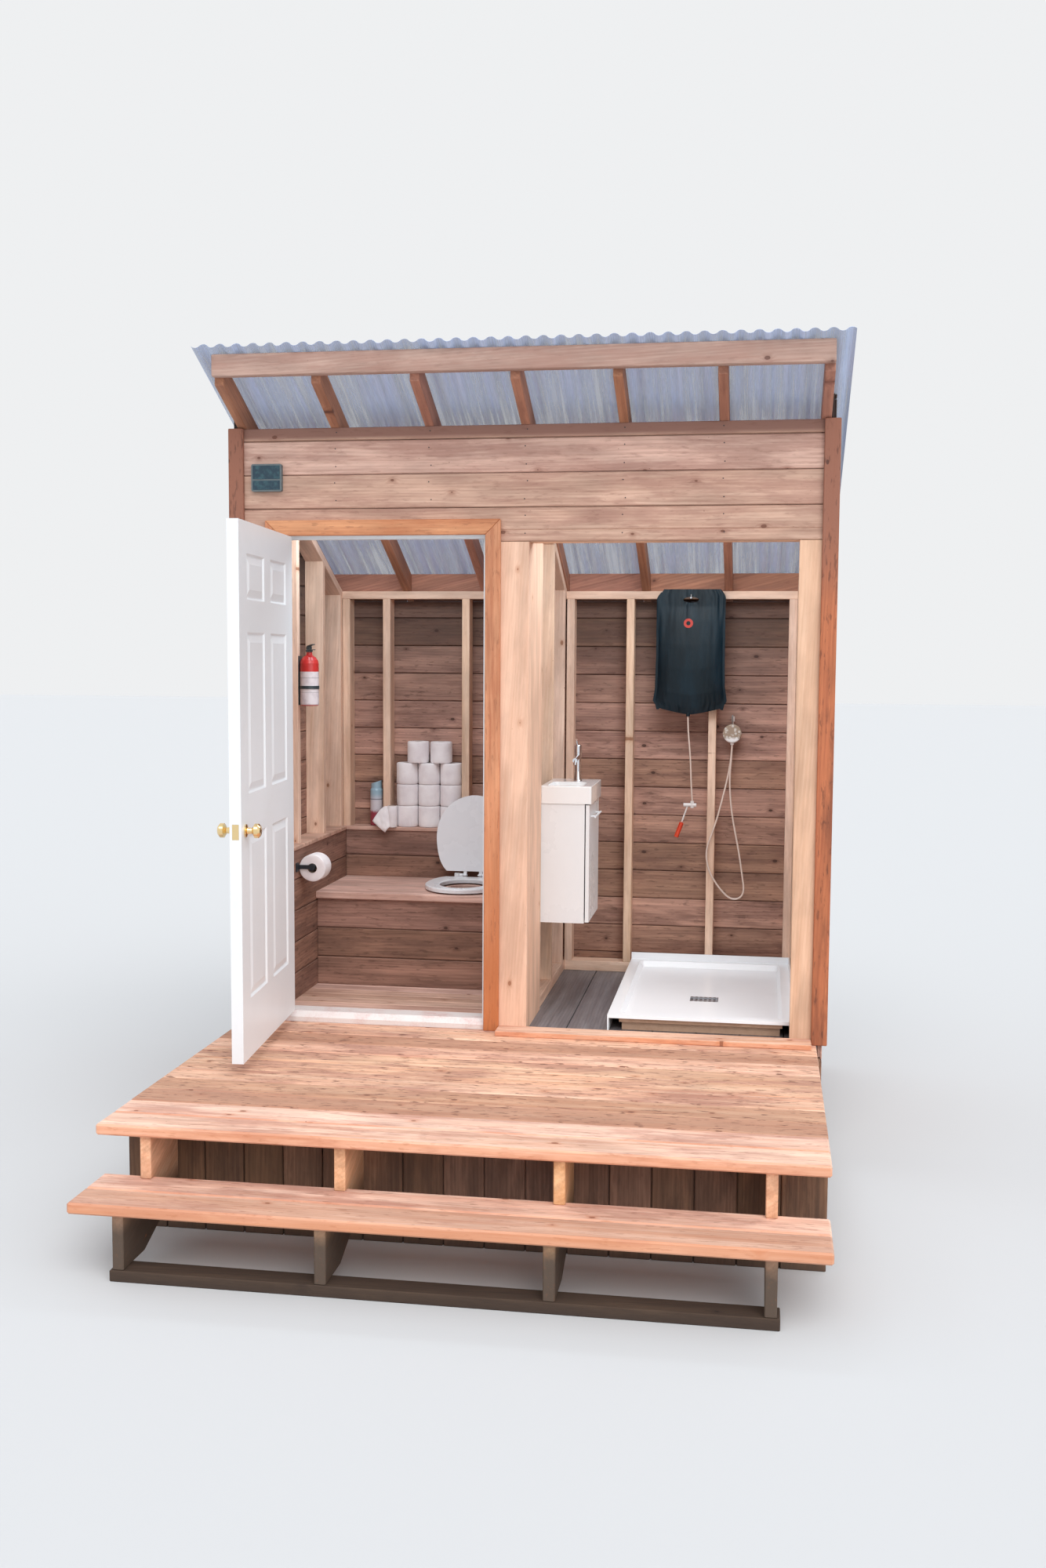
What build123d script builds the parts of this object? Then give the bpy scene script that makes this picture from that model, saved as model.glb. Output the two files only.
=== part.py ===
"""A two-room timber outhouse: a toilet room with a hinged door, an open wash room with a shower
tray, a shed roof of corrugated sheet and a deck with one long step.

Millimetres, +Z up.  X runs along the front with 0 on the centre line, Y runs into the building
with 0 on the outer face of the front boards, and Z is 0 on the ground.
"""
import os
from math import atan2, ceil, cos, degrees, radians, sin, sqrt, tan

from build123d import *

# Timber stock
STUD_T = 38.0
STUD_D = 89.0
BOARD_T = 19.0
TRIM_W = 64.0
JOIST_H = 140.0
DECK_T = 38.0
BOARD_W = 140.0
BOARD_GAP = 6.0
SEAT_GAP = 0.3
CORD_GAP = 0.6

# Building
DECK_TOP = 450.0
FRAME_W = 2438.0
FRAME_DEPTH = 1334.0
FRONT_WALL_H = 2512.0
ROOF_PITCH = 26.0
SPACING = 406.0
SOLE_T = 50.0
FLOOR_T = 18.0
WALL_BOTTOM = 290.0

# Front openings, heights above the deck
WASH_HEAD_H = 2039.0
CENTRE_POST_W = 140.0
RIGHT_POST_W = 113.0
HEADER_H = 89.0
PLATE_DROP = 22.0
SILL_DEPTH = 100.0
SILL_T = 22.0

# Door
DOOR_W = 864.0
DOOR_H = 2007.0
DOOR_T = 44.0
DOOR_CLEAR = 5.0
DOOR_BOTTOM = 55.0
DOOR_INSET = 187.0
DOOR_OPEN = 85.0
PIN_R = 3.0
KNUCKLE_R = 6.0
KNUCKLE_H = 90.0
HINGE_T = 2.0
HINGE_HEIGHTS = (200.0, 1000.0, 1800.0)
JAMB_DEPTH = 112.0
STOP_T = 13.0
STOP_W = 32.0
KNOB_H = 867.0
KNOB_BACKSET = 60.0
KNOB_R = 27.0
SPINDLE_R = 7.0
DOOR_STILE = 115.0
DOOR_MULLION = 100.0
PANEL_ROWS = ((225.0, 620.0), (1000.0, 600.0), (1720.0, 170.0))
MOULD_DEPTH = 6.0
MOULD_EDGE = 8.0
MOULD_GROOVE = 13.0
MOULD_W = 38.0
LATCH_W = 25.0
LATCH_H = 57.0
LATCH_T = 1.5

# Roof
FRONT_OVERHANG = 309.0
BACK_OVERHANG = 230.0
SHEET_SIDE = 71.0
SHEET_FRONT = 33.0
WAVE_PITCH = 68.0
WAVE_H = 18.0
SHEET_T = 1.6

# Deck and step
DECK_DEPTH = 1488.0
DECK_INSET = 5.0
NOSING_BOARDS = 2
STEP_RISE = 190.0
STEP_GO = 224.0
STEP_BOARDS = 2
STRINGER_INSETS = (169.0, 188.0)
STRINGER_SHARES = (0.0, 0.324, 0.675, 1.0)
NOSING_LIP = 22.0
FOOT_DEPTH = 170.0

# Rooms
PARTITION_OFF = 180.0
TOILET_STUD_OFF = 317.0
WASH_STUD_OFF = 314.0
PARTITION_STUD_OFF = 273.0
PARTITION_END_OFF = 64.0
PANEL_T = 5.0
PANEL_DEPTH = 380.0
BENCH_H = 450.0
BENCH_T = 33.0
BENCH_DEPTH = 533.0
LEDGE_H = 704.0
SEAT_OFF = 339.0

# Toilet seat and lid
SEAT_LEN = 415.0
SEAT_HALF = 186.0
SEAT_HINGE_OFF = 95.0
SEAT_HINGE_H = 32.0
SEAT_T = 20.0
SEAT_HOLE = (112.0, 142.0)
BENCH_HOLE = (105.0, 135.0)
LID_LEN = 380.0
LID_HALF = 190.0
LID_T = 16.0
LID_OPEN = 100.0
SEAT_POST_OFF = 78.0
SEAT_SHAPE = ((0.0, 0.70), (0.10, 0.85), (0.27, 0.96), (0.47, 1.0), (0.64, 0.95), (0.79, 0.80),
              (0.90, 0.60), (0.968, 0.35))

# Wash basin
PANEL_TO_CABINET = 6.0
CABINET_W = 390.0
CABINET_D = 213.0
CABINET_LOW = 394.0
CABINET_H = 531.0
CABINET_T = 16.0
BASIN_D = 221.0
BASIN_W = 410.0
BASIN_H = 77.0
BOWL_W = 215.0
BOWL_D = 160.0
BOWL_FLOOR = 14.0
HANDLE_H = 862.0
TAP_OFF = 130.0
TAP_REACH = 105.0
TAP_H = 133.0
TAP_CAP_H = 35.0
TAP_R = 18.0

# Shower tray
TRAY_W = 775.0
TRAY_Y0 = 64.0
TRAY_H = 72.0
TRAY_RIM = 48.0
TRAY_WALL = 6.0
DRAIN_W = 120.0
DRAIN_D = 60.0
DRAIN_OFF = 471.0

# Bag shower
BAG_OFF = 270.0
BAG_T = 62.0
BAG_H = 606.0
BAG_HALF = 181.0
BAG_SHAPE = ((0.81, 1.0), (0.92, 0.954), (0.94, 0.355), (1.0, 0.096), (0.895, 0.05), (0.14, 0.0))
BAG_SECTION = ((0.13, 1.002), (0.16, 0.843), (0.7, 0.653), (1.0, 0.462), (1.0, 0.182), (0.6, 0.066),
               (0.19, -0.002))
BAG_LOW = 1292.0
BAG_NECK_R = 9.0
VALVE_H = 34.0
VALVE_MID = 20.0
VALVE_ARM = 42.0
NOZZLE_OFF = 55.0
NOZZLE_DROP = 122.0
TIP_OFF = 76.0
TIP_DROP = 178.0
TIP_R = 11.0
HAND_HOLE_W = 95.0
HAND_HOLE_H = 28.0
HAND_HOLE_DROP = 51.0
HOOK_R = 4.0
BAG_TUBE_R = 4.0

# Shower head and hose
HEAD_OFF = 477.0
HEAD_H = 1199.0
HEAD_R = 46.0
HEAD_DEPTH = 40.0
NAIL_RISE = 86.0
NAIL_R = 3.0
HOSE_R = 4.5

# Small things
PAPER_R = 56.0
PAPER_H = 108.0
PAPER_CORE = 21.0
WORN_ROLL_R = 26.0
WALL_ROLL_R = 63.0
WALL_ROLL_H = 600.0
WALL_ROLL_Y = 493.0
CAN_R = 32.0
CAN_H = 180.0
CAN_CAP_H = 52.0
BOTTLE_R = 43.0
BOTTLE_LOW = 1338.0
LIGHT_W = 131.0
LIGHT_H = 113.0
LIGHT_T = 20.0
LIGHT_DROP = 261.0


def block(x0, x1, y0, y1, z0, z1):
    """A rectangular piece between two corners."""
    centre = ((x0 + x1) / 2, (y0 + y1) / 2, (z0 + z1) / 2)
    return Pos(*centre) * Box(abs(x1 - x0), abs(y1 - y0), abs(z1 - z0))


def prism_x(outline, x0, x1):
    """An outline of (y, z) points carried along X."""
    face = make_face(Polyline(*[(x0, y, z) for y, z in outline], close=True))
    return extrude(face, amount=x1 - x0, dir=(1, 0, 0))


def prism_y(outline, y0, y1):
    """An outline of (x, z) points carried along Y."""
    face = make_face(Polyline(*[(x, y0, z) for x, z in outline], close=True))
    return extrude(face, amount=y1 - y0, dir=(0, 1, 0))


def rod(start, end, radius):
    """A round bar from one point to another."""
    line = Vector(*end) - Vector(*start)
    plane = Plane(origin=start, z_dir=line)
    return extrude(plane * Circle(radius), amount=line.length)


def write(name, *shapes):
    """One STEP file for a named piece, or for a set of like pieces."""
    solids = [solid for shape in shapes for solid in shape.solids()]
    shape = solids[0] if len(solids) == 1 else Compound(solids)
    export_step(shape, f"parts/{name}.step")


# Derived places shared by the sections below
HALF_W = FRAME_W / 2
FRAME_FRONT = BOARD_T
FRAME_BACK = BOARD_T + FRAME_DEPTH
STUD_BACK_IN = FRAME_BACK - STUD_D
STUD_FRONT_IN = FRAME_FRONT + STUD_D
WALL_BACK = FRAME_BACK + BOARD_T
OUTER_X = HALF_W + BOARD_T
TRIM_X = OUTER_X + BOARD_T
SLOPE = tan(radians(ROOF_PITCH))
RAFTER_RISE = STUD_D / cos(radians(ROOF_PITCH))
PLATE_RISE = STUD_T / cos(radians(ROOF_PITCH))
WASH_HEAD = DECK_TOP + WASH_HEAD_H
DOOR_LEFT = -HALF_W + DOOR_INSET
DOOR_RIGHT = DOOR_LEFT + DOOR_W
PARTITION_X = DOOR_RIGHT + PARTITION_OFF
REBATE_LEFT = DOOR_LEFT - DOOR_CLEAR
REBATE_RIGHT = DOOR_RIGHT + DOOR_CLEAR
DOOR_Z = DECK_TOP + DOOR_BOTTOM
REBATE_HEAD = DOOR_Z + DOOR_H + DOOR_CLEAR
JAMB_LEFT = REBATE_LEFT - BOARD_T
JAMB_RIGHT = REBATE_RIGHT + BOARD_T
JAMB_HEAD = REBATE_HEAD + BOARD_T
FACE_Y = -BOARD_T
PIN_X = DOOR_LEFT - 2.0
PIN_Y = FACE_Y - KNUCKLE_R - 2.0
PARTITION_L = PARTITION_X - STUD_D
PANEL_FACE = PARTITION_X + PANEL_T
TOILET_R = PARTITION_L - BOARD_T
LOWER_FACE_X = -HALF_W + STUD_D + BOARD_T
LOWER_FACE_Y = STUD_BACK_IN - BOARD_T
BENCH_FRONT = LOWER_FACE_Y - BENCH_DEPTH
BENCH_TOP = DECK_TOP + BENCH_H
LEDGE_TOP = DECK_TOP + LEDGE_H
DECK_FRONT = -DECK_DEPTH
NOSING_W = NOSING_BOARDS * (BOARD_W + BOARD_GAP) - BOARD_GAP
NOSING_BACK = DECK_FRONT + NOSING_W
STEP_TOP = DECK_TOP - STEP_RISE
STEP_FRONT = DECK_FRONT - STEP_GO
SKIRT_Y = NOSING_BACK - 19.0
RAFTER_XS = [-HALF_W + STUD_T / 2 + i * (FRAME_W - STUD_T) / 6 for i in range(7)]
CORNER_STUD = HALF_W - STUD_T / 2
INNER_STUD = HALF_W - STUD_D - STUD_T / 2
TOILET_STUD = -HALF_W + TOILET_STUD_OFF
WASH_STUD = PARTITION_X + WASH_STUD_OFF
BACK_STUD_XS = [-CORNER_STUD, -INNER_STUD, TOILET_STUD, TOILET_STUD + SPACING,
                PARTITION_L + STUD_T / 2, PARTITION_X + STUD_T / 2, WASH_STUD, WASH_STUD + SPACING,
                INNER_STUD, CORNER_STUD]
FIRST_STUD_Y = STUD_FRONT_IN + STUD_T / 2
SIDE_STUD_YS = [FIRST_STUD_Y, FIRST_STUD_Y + SPACING, FIRST_STUD_Y + 2 * SPACING,
                STUD_BACK_IN - STUD_T / 2]
PARTITION_STUD = FIRST_STUD_Y + PARTITION_STUD_OFF
PARTITION_STUD_YS = [FIRST_STUD_Y, PARTITION_STUD, PARTITION_STUD + SPACING,
                     STUD_BACK_IN - PARTITION_END_OFF]
STRINGER_L = -HALF_W + STRINGER_INSETS[0]
STRINGER_R = HALF_W - STRINGER_INSETS[1]
STRINGERS_X = [STRINGER_L + share * (STRINGER_R - STRINGER_L) for share in STRINGER_SHARES]
SEAT_X = TOILET_R - SEAT_OFF
SEAT_HINGE_Y = LOWER_FACE_Y - SEAT_HINGE_OFF
SEAT_HINGE_Z = BENCH_TOP + SEAT_HINGE_H
SEAT_BACK = SEAT_HINGE_Y - 20.0
SEAT_Y = SEAT_BACK - SEAT_LEN / 2 - 8.0
CABINET_Y = FRAME_FRONT + PANEL_DEPTH + PANEL_TO_CABINET
CABINET_Z = DECK_TOP + CABINET_LOW
TRAY_X1 = HALF_W - STUD_D - 3.0
TRAY_X0 = TRAY_X1 - TRAY_W
TRAY_Y1 = STUD_BACK_IN - 1.0
BAG_X = TRAY_X0 + BAG_OFF
BAG_Y = STUD_BACK_IN - 40.0
BAG_TIP = DECK_TOP + BAG_LOW
BAG_TOP = BAG_TIP + BAG_H
HEAD_X = TRAY_X0 + HEAD_OFF
HEAD_Y = FRAME_BACK - 53.0
HEAD_Z = DECK_TOP + HEAD_H
NAIL_Z = HEAD_Z + NAIL_RISE


def rafter_under(y):
    """Height of the rafters' lower edge."""
    return DECK_TOP + FRONT_WALL_H - SLOPE * y


def rafter_top(y):
    """Height of the rafters' upper edge, where the sheet lies."""
    return rafter_under(y) + RAFTER_RISE


BACK_PLATE_TOP = rafter_under(STUD_BACK_IN) - 5.0
FRONT_PLATE_TOP = rafter_under(FRAME_FRONT) - PLATE_DROP


def sloped_wall(x0, x1, y0, y1, z0, drop):
    """A piece of wall whose top follows the roof, a given drop below the rafters' lower edge."""
    outline = [
        (y0, z0),
        (y1, z0),
        (y1, rafter_under(y1) - drop),
        (y0, rafter_under(y0) - drop),
    ]
    return prism_x(outline, x0, x1)


def ground_frame():
    """Skids with short posts, and the joists of the rooms and of the deck."""
    skid = 89.0
    joist_z = DECK_TOP - FLOOR_T - JOIST_H
    inner = HALF_W - DECK_INSET - BOARD_T - SEAT_GAP
    pieces = []
    for y in (SKIRT_Y + BOARD_T + skid, 0, FRAME_BACK - skid):
        pieces.append(block(-inner, inner, y - skid / 2, y + skid / 2, 0, skid))
        for x in (-inner + skid / 2, 0, inner - skid / 2):
            pieces.append(block(x - skid / 2, x + skid / 2, y - skid / 2, y + skid / 2,
                                skid + SEAT_GAP, joist_z))
    write("skids", *pieces)
    joists = [
        block(x - STUD_T / 2, x + STUD_T / 2, FRAME_FRONT, FRAME_BACK, joist_z, joist_z + JOIST_H)
        for x in RAFTER_XS
    ]
    reach = inner - STUD_T / 2
    deck_joists = [
        block(x - STUD_T / 2, x + STUD_T / 2, SKIRT_Y + BOARD_T, 0, joist_z, DECK_TOP - DECK_T)
        for x in (-reach + i * reach / 3 for i in range(7))
    ]
    write("joists", *joists, *deck_joists)


def floors():
    """Board floor of the toilet room and plank floor of the wash room."""
    z0 = DECK_TOP - FLOOR_T
    split = PARTITION_L
    write("toilet_floor", block(-HALF_W, split, 0, FRAME_BACK, z0, DECK_TOP))
    write("wash_floor", block(split, HALF_W, 0, FRAME_BACK, z0, DECK_TOP))


def deck():
    """Deck slab, nosing boards, the step, its stringers and the plate on the ground."""
    z0 = DECK_TOP - DECK_T
    half = HALF_W - DECK_INSET
    write("deck_boards", block(-half, half, NOSING_BACK + BOARD_GAP, 0, z0, DECK_TOP))
    pitch = BOARD_W + BOARD_GAP
    nosing = [
        block(-half, half, DECK_FRONT + i * pitch, DECK_FRONT + i * pitch + BOARD_W, z0, DECK_TOP)
        for i in range(NOSING_BOARDS)
    ]
    write("deck_nosing", *nosing)
    tread = [
        block(-half, half, STEP_FRONT + i * pitch, STEP_FRONT + i * pitch + BOARD_W,
              STEP_TOP - DECK_T, STEP_TOP)
        for i in range(STEP_BOARDS)
    ]
    write("step_boards", *tread)
    riser_y = DECK_FRONT + NOSING_LIP + BOARD_GAP
    foot_y = STEP_FRONT + NOSING_LIP
    foot_z = STUD_T
    tread_back = STEP_FRONT + STEP_BOARDS * pitch - BOARD_GAP + SEAT_GAP
    outline = [
        (SKIRT_Y, z0),
        (riser_y, z0),
        (riser_y, STEP_TOP + SEAT_GAP),
        (tread_back, STEP_TOP + SEAT_GAP),
        (tread_back, STEP_TOP - DECK_T),
        (foot_y, STEP_TOP - DECK_T),
        (foot_y, foot_z),
        (foot_y + FOOT_DEPTH, foot_z),
        (SKIRT_Y, STEP_TOP - DECK_T - 60),
    ]
    stringers = [prism_x(outline, x - STUD_T / 2, x + STUD_T / 2) for x in STRINGERS_X]
    write("stair_stringers", *stringers)
    reach = STUD_T / 2 + 10
    write("ground_plate", block(STRINGERS_X[0] - reach, STRINGERS_X[-1] + reach,
                                foot_y - 4, foot_y - 4 + STUD_D, 0, STUD_T))


def skirting():
    """Upright boards that close the space under the deck and the rooms."""
    half = HALF_W - DECK_INSET
    top = DECK_TOP - DECK_T
    front = block(-half, half, SKIRT_Y, SKIRT_Y + BOARD_T, 0, top)
    sides = [
        block(side * (half - BOARD_T), side * half, SKIRT_Y + BOARD_T + SEAT_GAP, -SEAT_GAP, 0, top)
        for side in (-1, 1)
    ]
    house = [
        block(side * HALF_W, side * OUTER_X, 0, WALL_BACK, 0, WALL_BOTTOM - SEAT_GAP)
        for side in (-1, 1)
    ]
    back = block(-HALF_W + SEAT_GAP, HALF_W - SEAT_GAP, FRAME_BACK, WALL_BACK, 0,
                 WALL_BOTTOM - SEAT_GAP)
    write("skirting", front, *sides, *house, back)


def wall_studs():
    """Studs of the side and back walls and the partition, the first and last cut to the slope."""
    base = DECK_TOP + SOLE_T
    pieces = []
    for side in (-1, 1):
        x0 = side * HALF_W if side < 0 else HALF_W - STUD_D
        for y in SIDE_STUD_YS:
            pieces.append(sloped_wall(x0, x0 + STUD_D, y - STUD_T / 2, y + STUD_T / 2, base,
                                      PLATE_RISE + SEAT_GAP))
    for x in BACK_STUD_XS:
        pieces.append(block(x - STUD_T / 2, x + STUD_T / 2, STUD_BACK_IN + SEAT_GAP, FRAME_BACK, base,
                            BACK_PLATE_TOP - STUD_T))
    for y in PARTITION_STUD_YS:
        pieces.append(sloped_wall(PARTITION_L, PARTITION_X, y - STUD_T / 2, y + STUD_T / 2, base,
                                  PLATE_RISE + SEAT_GAP))
    write("wall_studs", *pieces)


def front_frame():
    """Posts and studs of the front wall, and the headers over the two openings."""
    y0, y1 = FRAME_FRONT, STUD_FRONT_IN
    door_head = JAMB_HEAD + 5.0
    trimmer_l = JAMB_LEFT - 0.5
    trimmer_r = JAMB_RIGHT + 0.5 + STUD_T
    post_l = PANEL_FACE - CENTRE_POST_W
    posts = [
        block(-HALF_W, -HALF_W + STUD_T, y0, y1, DECK_TOP, FRONT_PLATE_TOP - STUD_T),
        block(trimmer_l - STUD_T, trimmer_l, y0, y1, DECK_TOP, door_head),
        block(trimmer_r - STUD_T, trimmer_r, STUD_T + SEAT_GAP, y1, DECK_TOP, door_head),
        block(post_l, PANEL_FACE, 0, STUD_T, DECK_TOP, WASH_HEAD),
        block(HALF_W - RIGHT_POST_W, HALF_W, 0, STUD_T, DECK_TOP, WASH_HEAD),
        block(PARTITION_L, PARTITION_X, STUD_T + SEAT_GAP, 2 * STUD_T, DECK_TOP, WASH_HEAD),
        block(HALF_W - STUD_D, HALF_W, STUD_T + SEAT_GAP, 2 * STUD_T, DECK_TOP, WASH_HEAD),
    ]
    write("front_posts", *posts)
    over_wash = block(trimmer_r + SEAT_GAP, HALF_W, y0, y1, WASH_HEAD, WASH_HEAD + HEADER_H)
    over_door = block(trimmer_l - STUD_T, trimmer_r, y0, y1, door_head, door_head + HEADER_H)
    cripple_top = FRONT_PLATE_TOP - STUD_T
    cripples = []
    for x in RAFTER_XS[1:]:
        base = (WASH_HEAD if x > trimmer_r else door_head) + HEADER_H
        cripples.append(block(x - STUD_T / 2, x + STUD_T / 2, y0, y1, base, cripple_top))
    write("headers", over_wash, over_door, *cripples)


def partition():
    """Between the two rooms: boards on the toilet side and a panel on the wash side."""
    boards = sloped_wall(TOILET_R, PARTITION_L - SEAT_GAP, STUD_FRONT_IN, STUD_BACK_IN, DECK_TOP, 6.0)
    write("partition_boards", boards)
    panel = sloped_wall(PARTITION_X, PANEL_FACE, STUD_FRONT_IN + SEAT_GAP, FRAME_FRONT + PANEL_DEPTH,
                        DECK_TOP, PLATE_RISE)
    lower = block(PARTITION_X, PANEL_FACE, STUD_T + SEAT_GAP, STUD_FRONT_IN + SEAT_GAP, DECK_TOP,
                  WASH_HEAD)
    write("partition_panel", panel + lower)


def plates():
    """Sole plates on the floor and top plates under the rafters."""
    z0, z1 = DECK_TOP, DECK_TOP + SOLE_T
    side = HALF_W - STUD_D
    soles = [
        block(-HALF_W, -side, STUD_FRONT_IN, FRAME_BACK, z0, z1),
        block(side, HALF_W, STUD_FRONT_IN, FRAME_BACK, z0, z1),
        block(-side + SEAT_GAP, PARTITION_L - SEAT_GAP, STUD_BACK_IN, FRAME_BACK, z0, z1),
        block(PARTITION_L, PARTITION_X, STUD_FRONT_IN, FRAME_BACK, z0, z1),
        block(PARTITION_X + SEAT_GAP, side - SEAT_GAP, STUD_BACK_IN, FRAME_BACK, z0, z1),
    ]
    top = [
        block(-HALF_W, HALF_W, FRAME_FRONT, STUD_FRONT_IN - SEAT_GAP, FRONT_PLATE_TOP - STUD_T,
              FRONT_PLATE_TOP),
        block(-HALF_W, HALF_W, STUD_BACK_IN + SEAT_GAP, FRAME_BACK, BACK_PLATE_TOP - STUD_T,
              BACK_PLATE_TOP),
    ]
    for x0, x1 in ((-HALF_W, -side), (PARTITION_L, PARTITION_X), (side, HALF_W)):
        plate = sloped_wall(x0, x1, STUD_FRONT_IN, STUD_BACK_IN, 0, SEAT_GAP)
        top.append(plate - sloped_wall(x0, x1, STUD_FRONT_IN, STUD_BACK_IN, -1, PLATE_RISE))
    write("wall_plates", *soles, *top)


def cladding():
    """Boards on the four walls, as one plain sheet for each stretch of wall."""
    gap = 1.0
    top = [(0, rafter_under(0) - gap), (BOARD_T, rafter_under(BOARD_T) - gap)]
    high = prism_x([(BOARD_T, JAMB_HEAD + gap), (0, JAMB_HEAD + gap), *top], -HALF_W, HALF_W)
    front = [
        high,
        block(JAMB_RIGHT + gap, HALF_W, 0, BOARD_T - SEAT_GAP, WASH_HEAD + SEAT_GAP, JAMB_HEAD),
        block(-HALF_W, JAMB_LEFT - gap, 0, BOARD_T, DECK_TOP, JAMB_HEAD),
    ]
    write("front_siding", *front)
    drop = -(RAFTER_RISE - 3.0)
    write("side_siding", *[
        sloped_wall(x0, x0 + BOARD_T, 0, WALL_BACK, WALL_BOTTOM, drop) for x0 in (-OUTER_X, HALF_W)
    ])
    write("back_siding", block(-HALF_W + SEAT_GAP, HALF_W - SEAT_GAP, FRAME_BACK + SEAT_GAP, WALL_BACK,
                               WALL_BOTTOM, rafter_under(WALL_BACK) - gap))


def corner_trims():
    """A pair of narrow boards on each outer corner."""
    pieces = []
    for side in (-1, 1):
        a, b = sorted((side * TRIM_X, side * (TRIM_X - TRIM_W)))
        pieces.append(block(a, b, FACE_Y, 0, DECK_TOP, rafter_under(0)))
        pieces.append(block(a, b, WALL_BACK, WALL_BACK + BOARD_T, WALL_BOTTOM,
                            rafter_under(WALL_BACK + BOARD_T)))
        a, b = sorted((side * OUTER_X, side * TRIM_X))
        front = sloped_wall(a, b, SEAT_GAP, TRIM_W - BOARD_T, DECK_TOP, 0)
        back = sloped_wall(a, b, WALL_BACK - TRIM_W + BOARD_T, WALL_BACK - SEAT_GAP, WALL_BOTTOM, 0)
        pieces.extend((front, back))
    write("corner_trims", *pieces)


def door_frame():
    """Jambs with their stops, mitred casing, threshold and the wash room's sill board."""
    stop_y = FACE_Y + DOOR_T + DOOR_CLEAR
    low = DECK_TOP + 42.0
    jamb = [
        block(JAMB_LEFT, REBATE_LEFT, 0, JAMB_DEPTH, low, JAMB_HEAD - BOARD_T - SEAT_GAP)
        + block(REBATE_LEFT, REBATE_LEFT + STOP_T, stop_y, stop_y + STOP_W, low,
                REBATE_HEAD - STOP_T - SEAT_GAP),
        block(REBATE_RIGHT, JAMB_RIGHT, 0, JAMB_DEPTH, low, JAMB_HEAD - BOARD_T - SEAT_GAP)
        + block(REBATE_RIGHT - STOP_T, REBATE_RIGHT, stop_y, stop_y + STOP_W, low,
                REBATE_HEAD - STOP_T - SEAT_GAP),
        block(JAMB_LEFT, JAMB_RIGHT, 0, JAMB_DEPTH, REBATE_HEAD, JAMB_HEAD)
        + block(REBATE_LEFT, REBATE_RIGHT, stop_y, stop_y + STOP_W, REBATE_HEAD - STOP_T,
                REBATE_HEAD),
    ]
    write("door_jamb", *jamb)
    in_l, in_r, in_t = REBATE_LEFT, REBATE_RIGHT, REBATE_HEAD
    out_l, out_r, out_t = in_l - TRIM_W, in_r + TRIM_W, in_t + TRIM_W
    joint = 0.4
    casing = [
        [(out_l, DECK_TOP), (in_l, DECK_TOP), (in_l, in_t - joint), (out_l, out_t - joint)],
        [(in_r, DECK_TOP), (out_r, DECK_TOP), (out_r, out_t - joint), (in_r, in_t - joint)],
        [(in_l + joint, in_t), (in_r - joint, in_t), (out_r - joint, out_t), (out_l + joint, out_t)],
    ]
    write("door_casing", *[prism_y(outline, FACE_Y, 0) for outline in casing])
    back = JAMB_DEPTH + 18
    step = [(0, DECK_TOP), (0, DECK_TOP + 20), (25, low), (JAMB_DEPTH, low), (back, low - 12),
            (back, DECK_TOP)]
    write("threshold", prism_x(step, JAMB_LEFT, JAMB_RIGHT))
    sill = block(REBATE_RIGHT + TRIM_W + 1, TRIM_X - TRIM_W - 1, -SILL_DEPTH, 0, DECK_TOP,
                 DECK_TOP + SILL_T)
    front = sill.edges().filter_by(Axis.X).sort_by(Axis.Y)[:2]
    write("wash_sill", fillet(front, SILL_T / 5))


def opened(shape, angle=DOOR_OPEN):
    """A piece of the door turned about the hinge pin, open by an angle."""
    return shape.rotate(Axis((PIN_X, PIN_Y, 0), (0, 0, 1)), -angle)


def door_groove(left, width, z0, height, face, way):
    """The moulded groove round one raised panel: steep outside, a gentle rise to the field inside."""
    plane = Plane(origin=(left + width / 2, face, z0 + height / 2), x_dir=(1, 0, 0),
                  z_dir=(0, way, 0))
    deep = plane.offset(MOULD_DEPTH)

    def frustum(inset, deep_inset):
        return loft([plane * Rectangle(width - 2 * inset, height - 2 * inset),
                     deep * Rectangle(width - 2 * deep_inset, height - 2 * deep_inset)], ruled=True)

    return frustum(0.0, MOULD_EDGE) - frustum(MOULD_W, MOULD_GROOVE)


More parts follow.
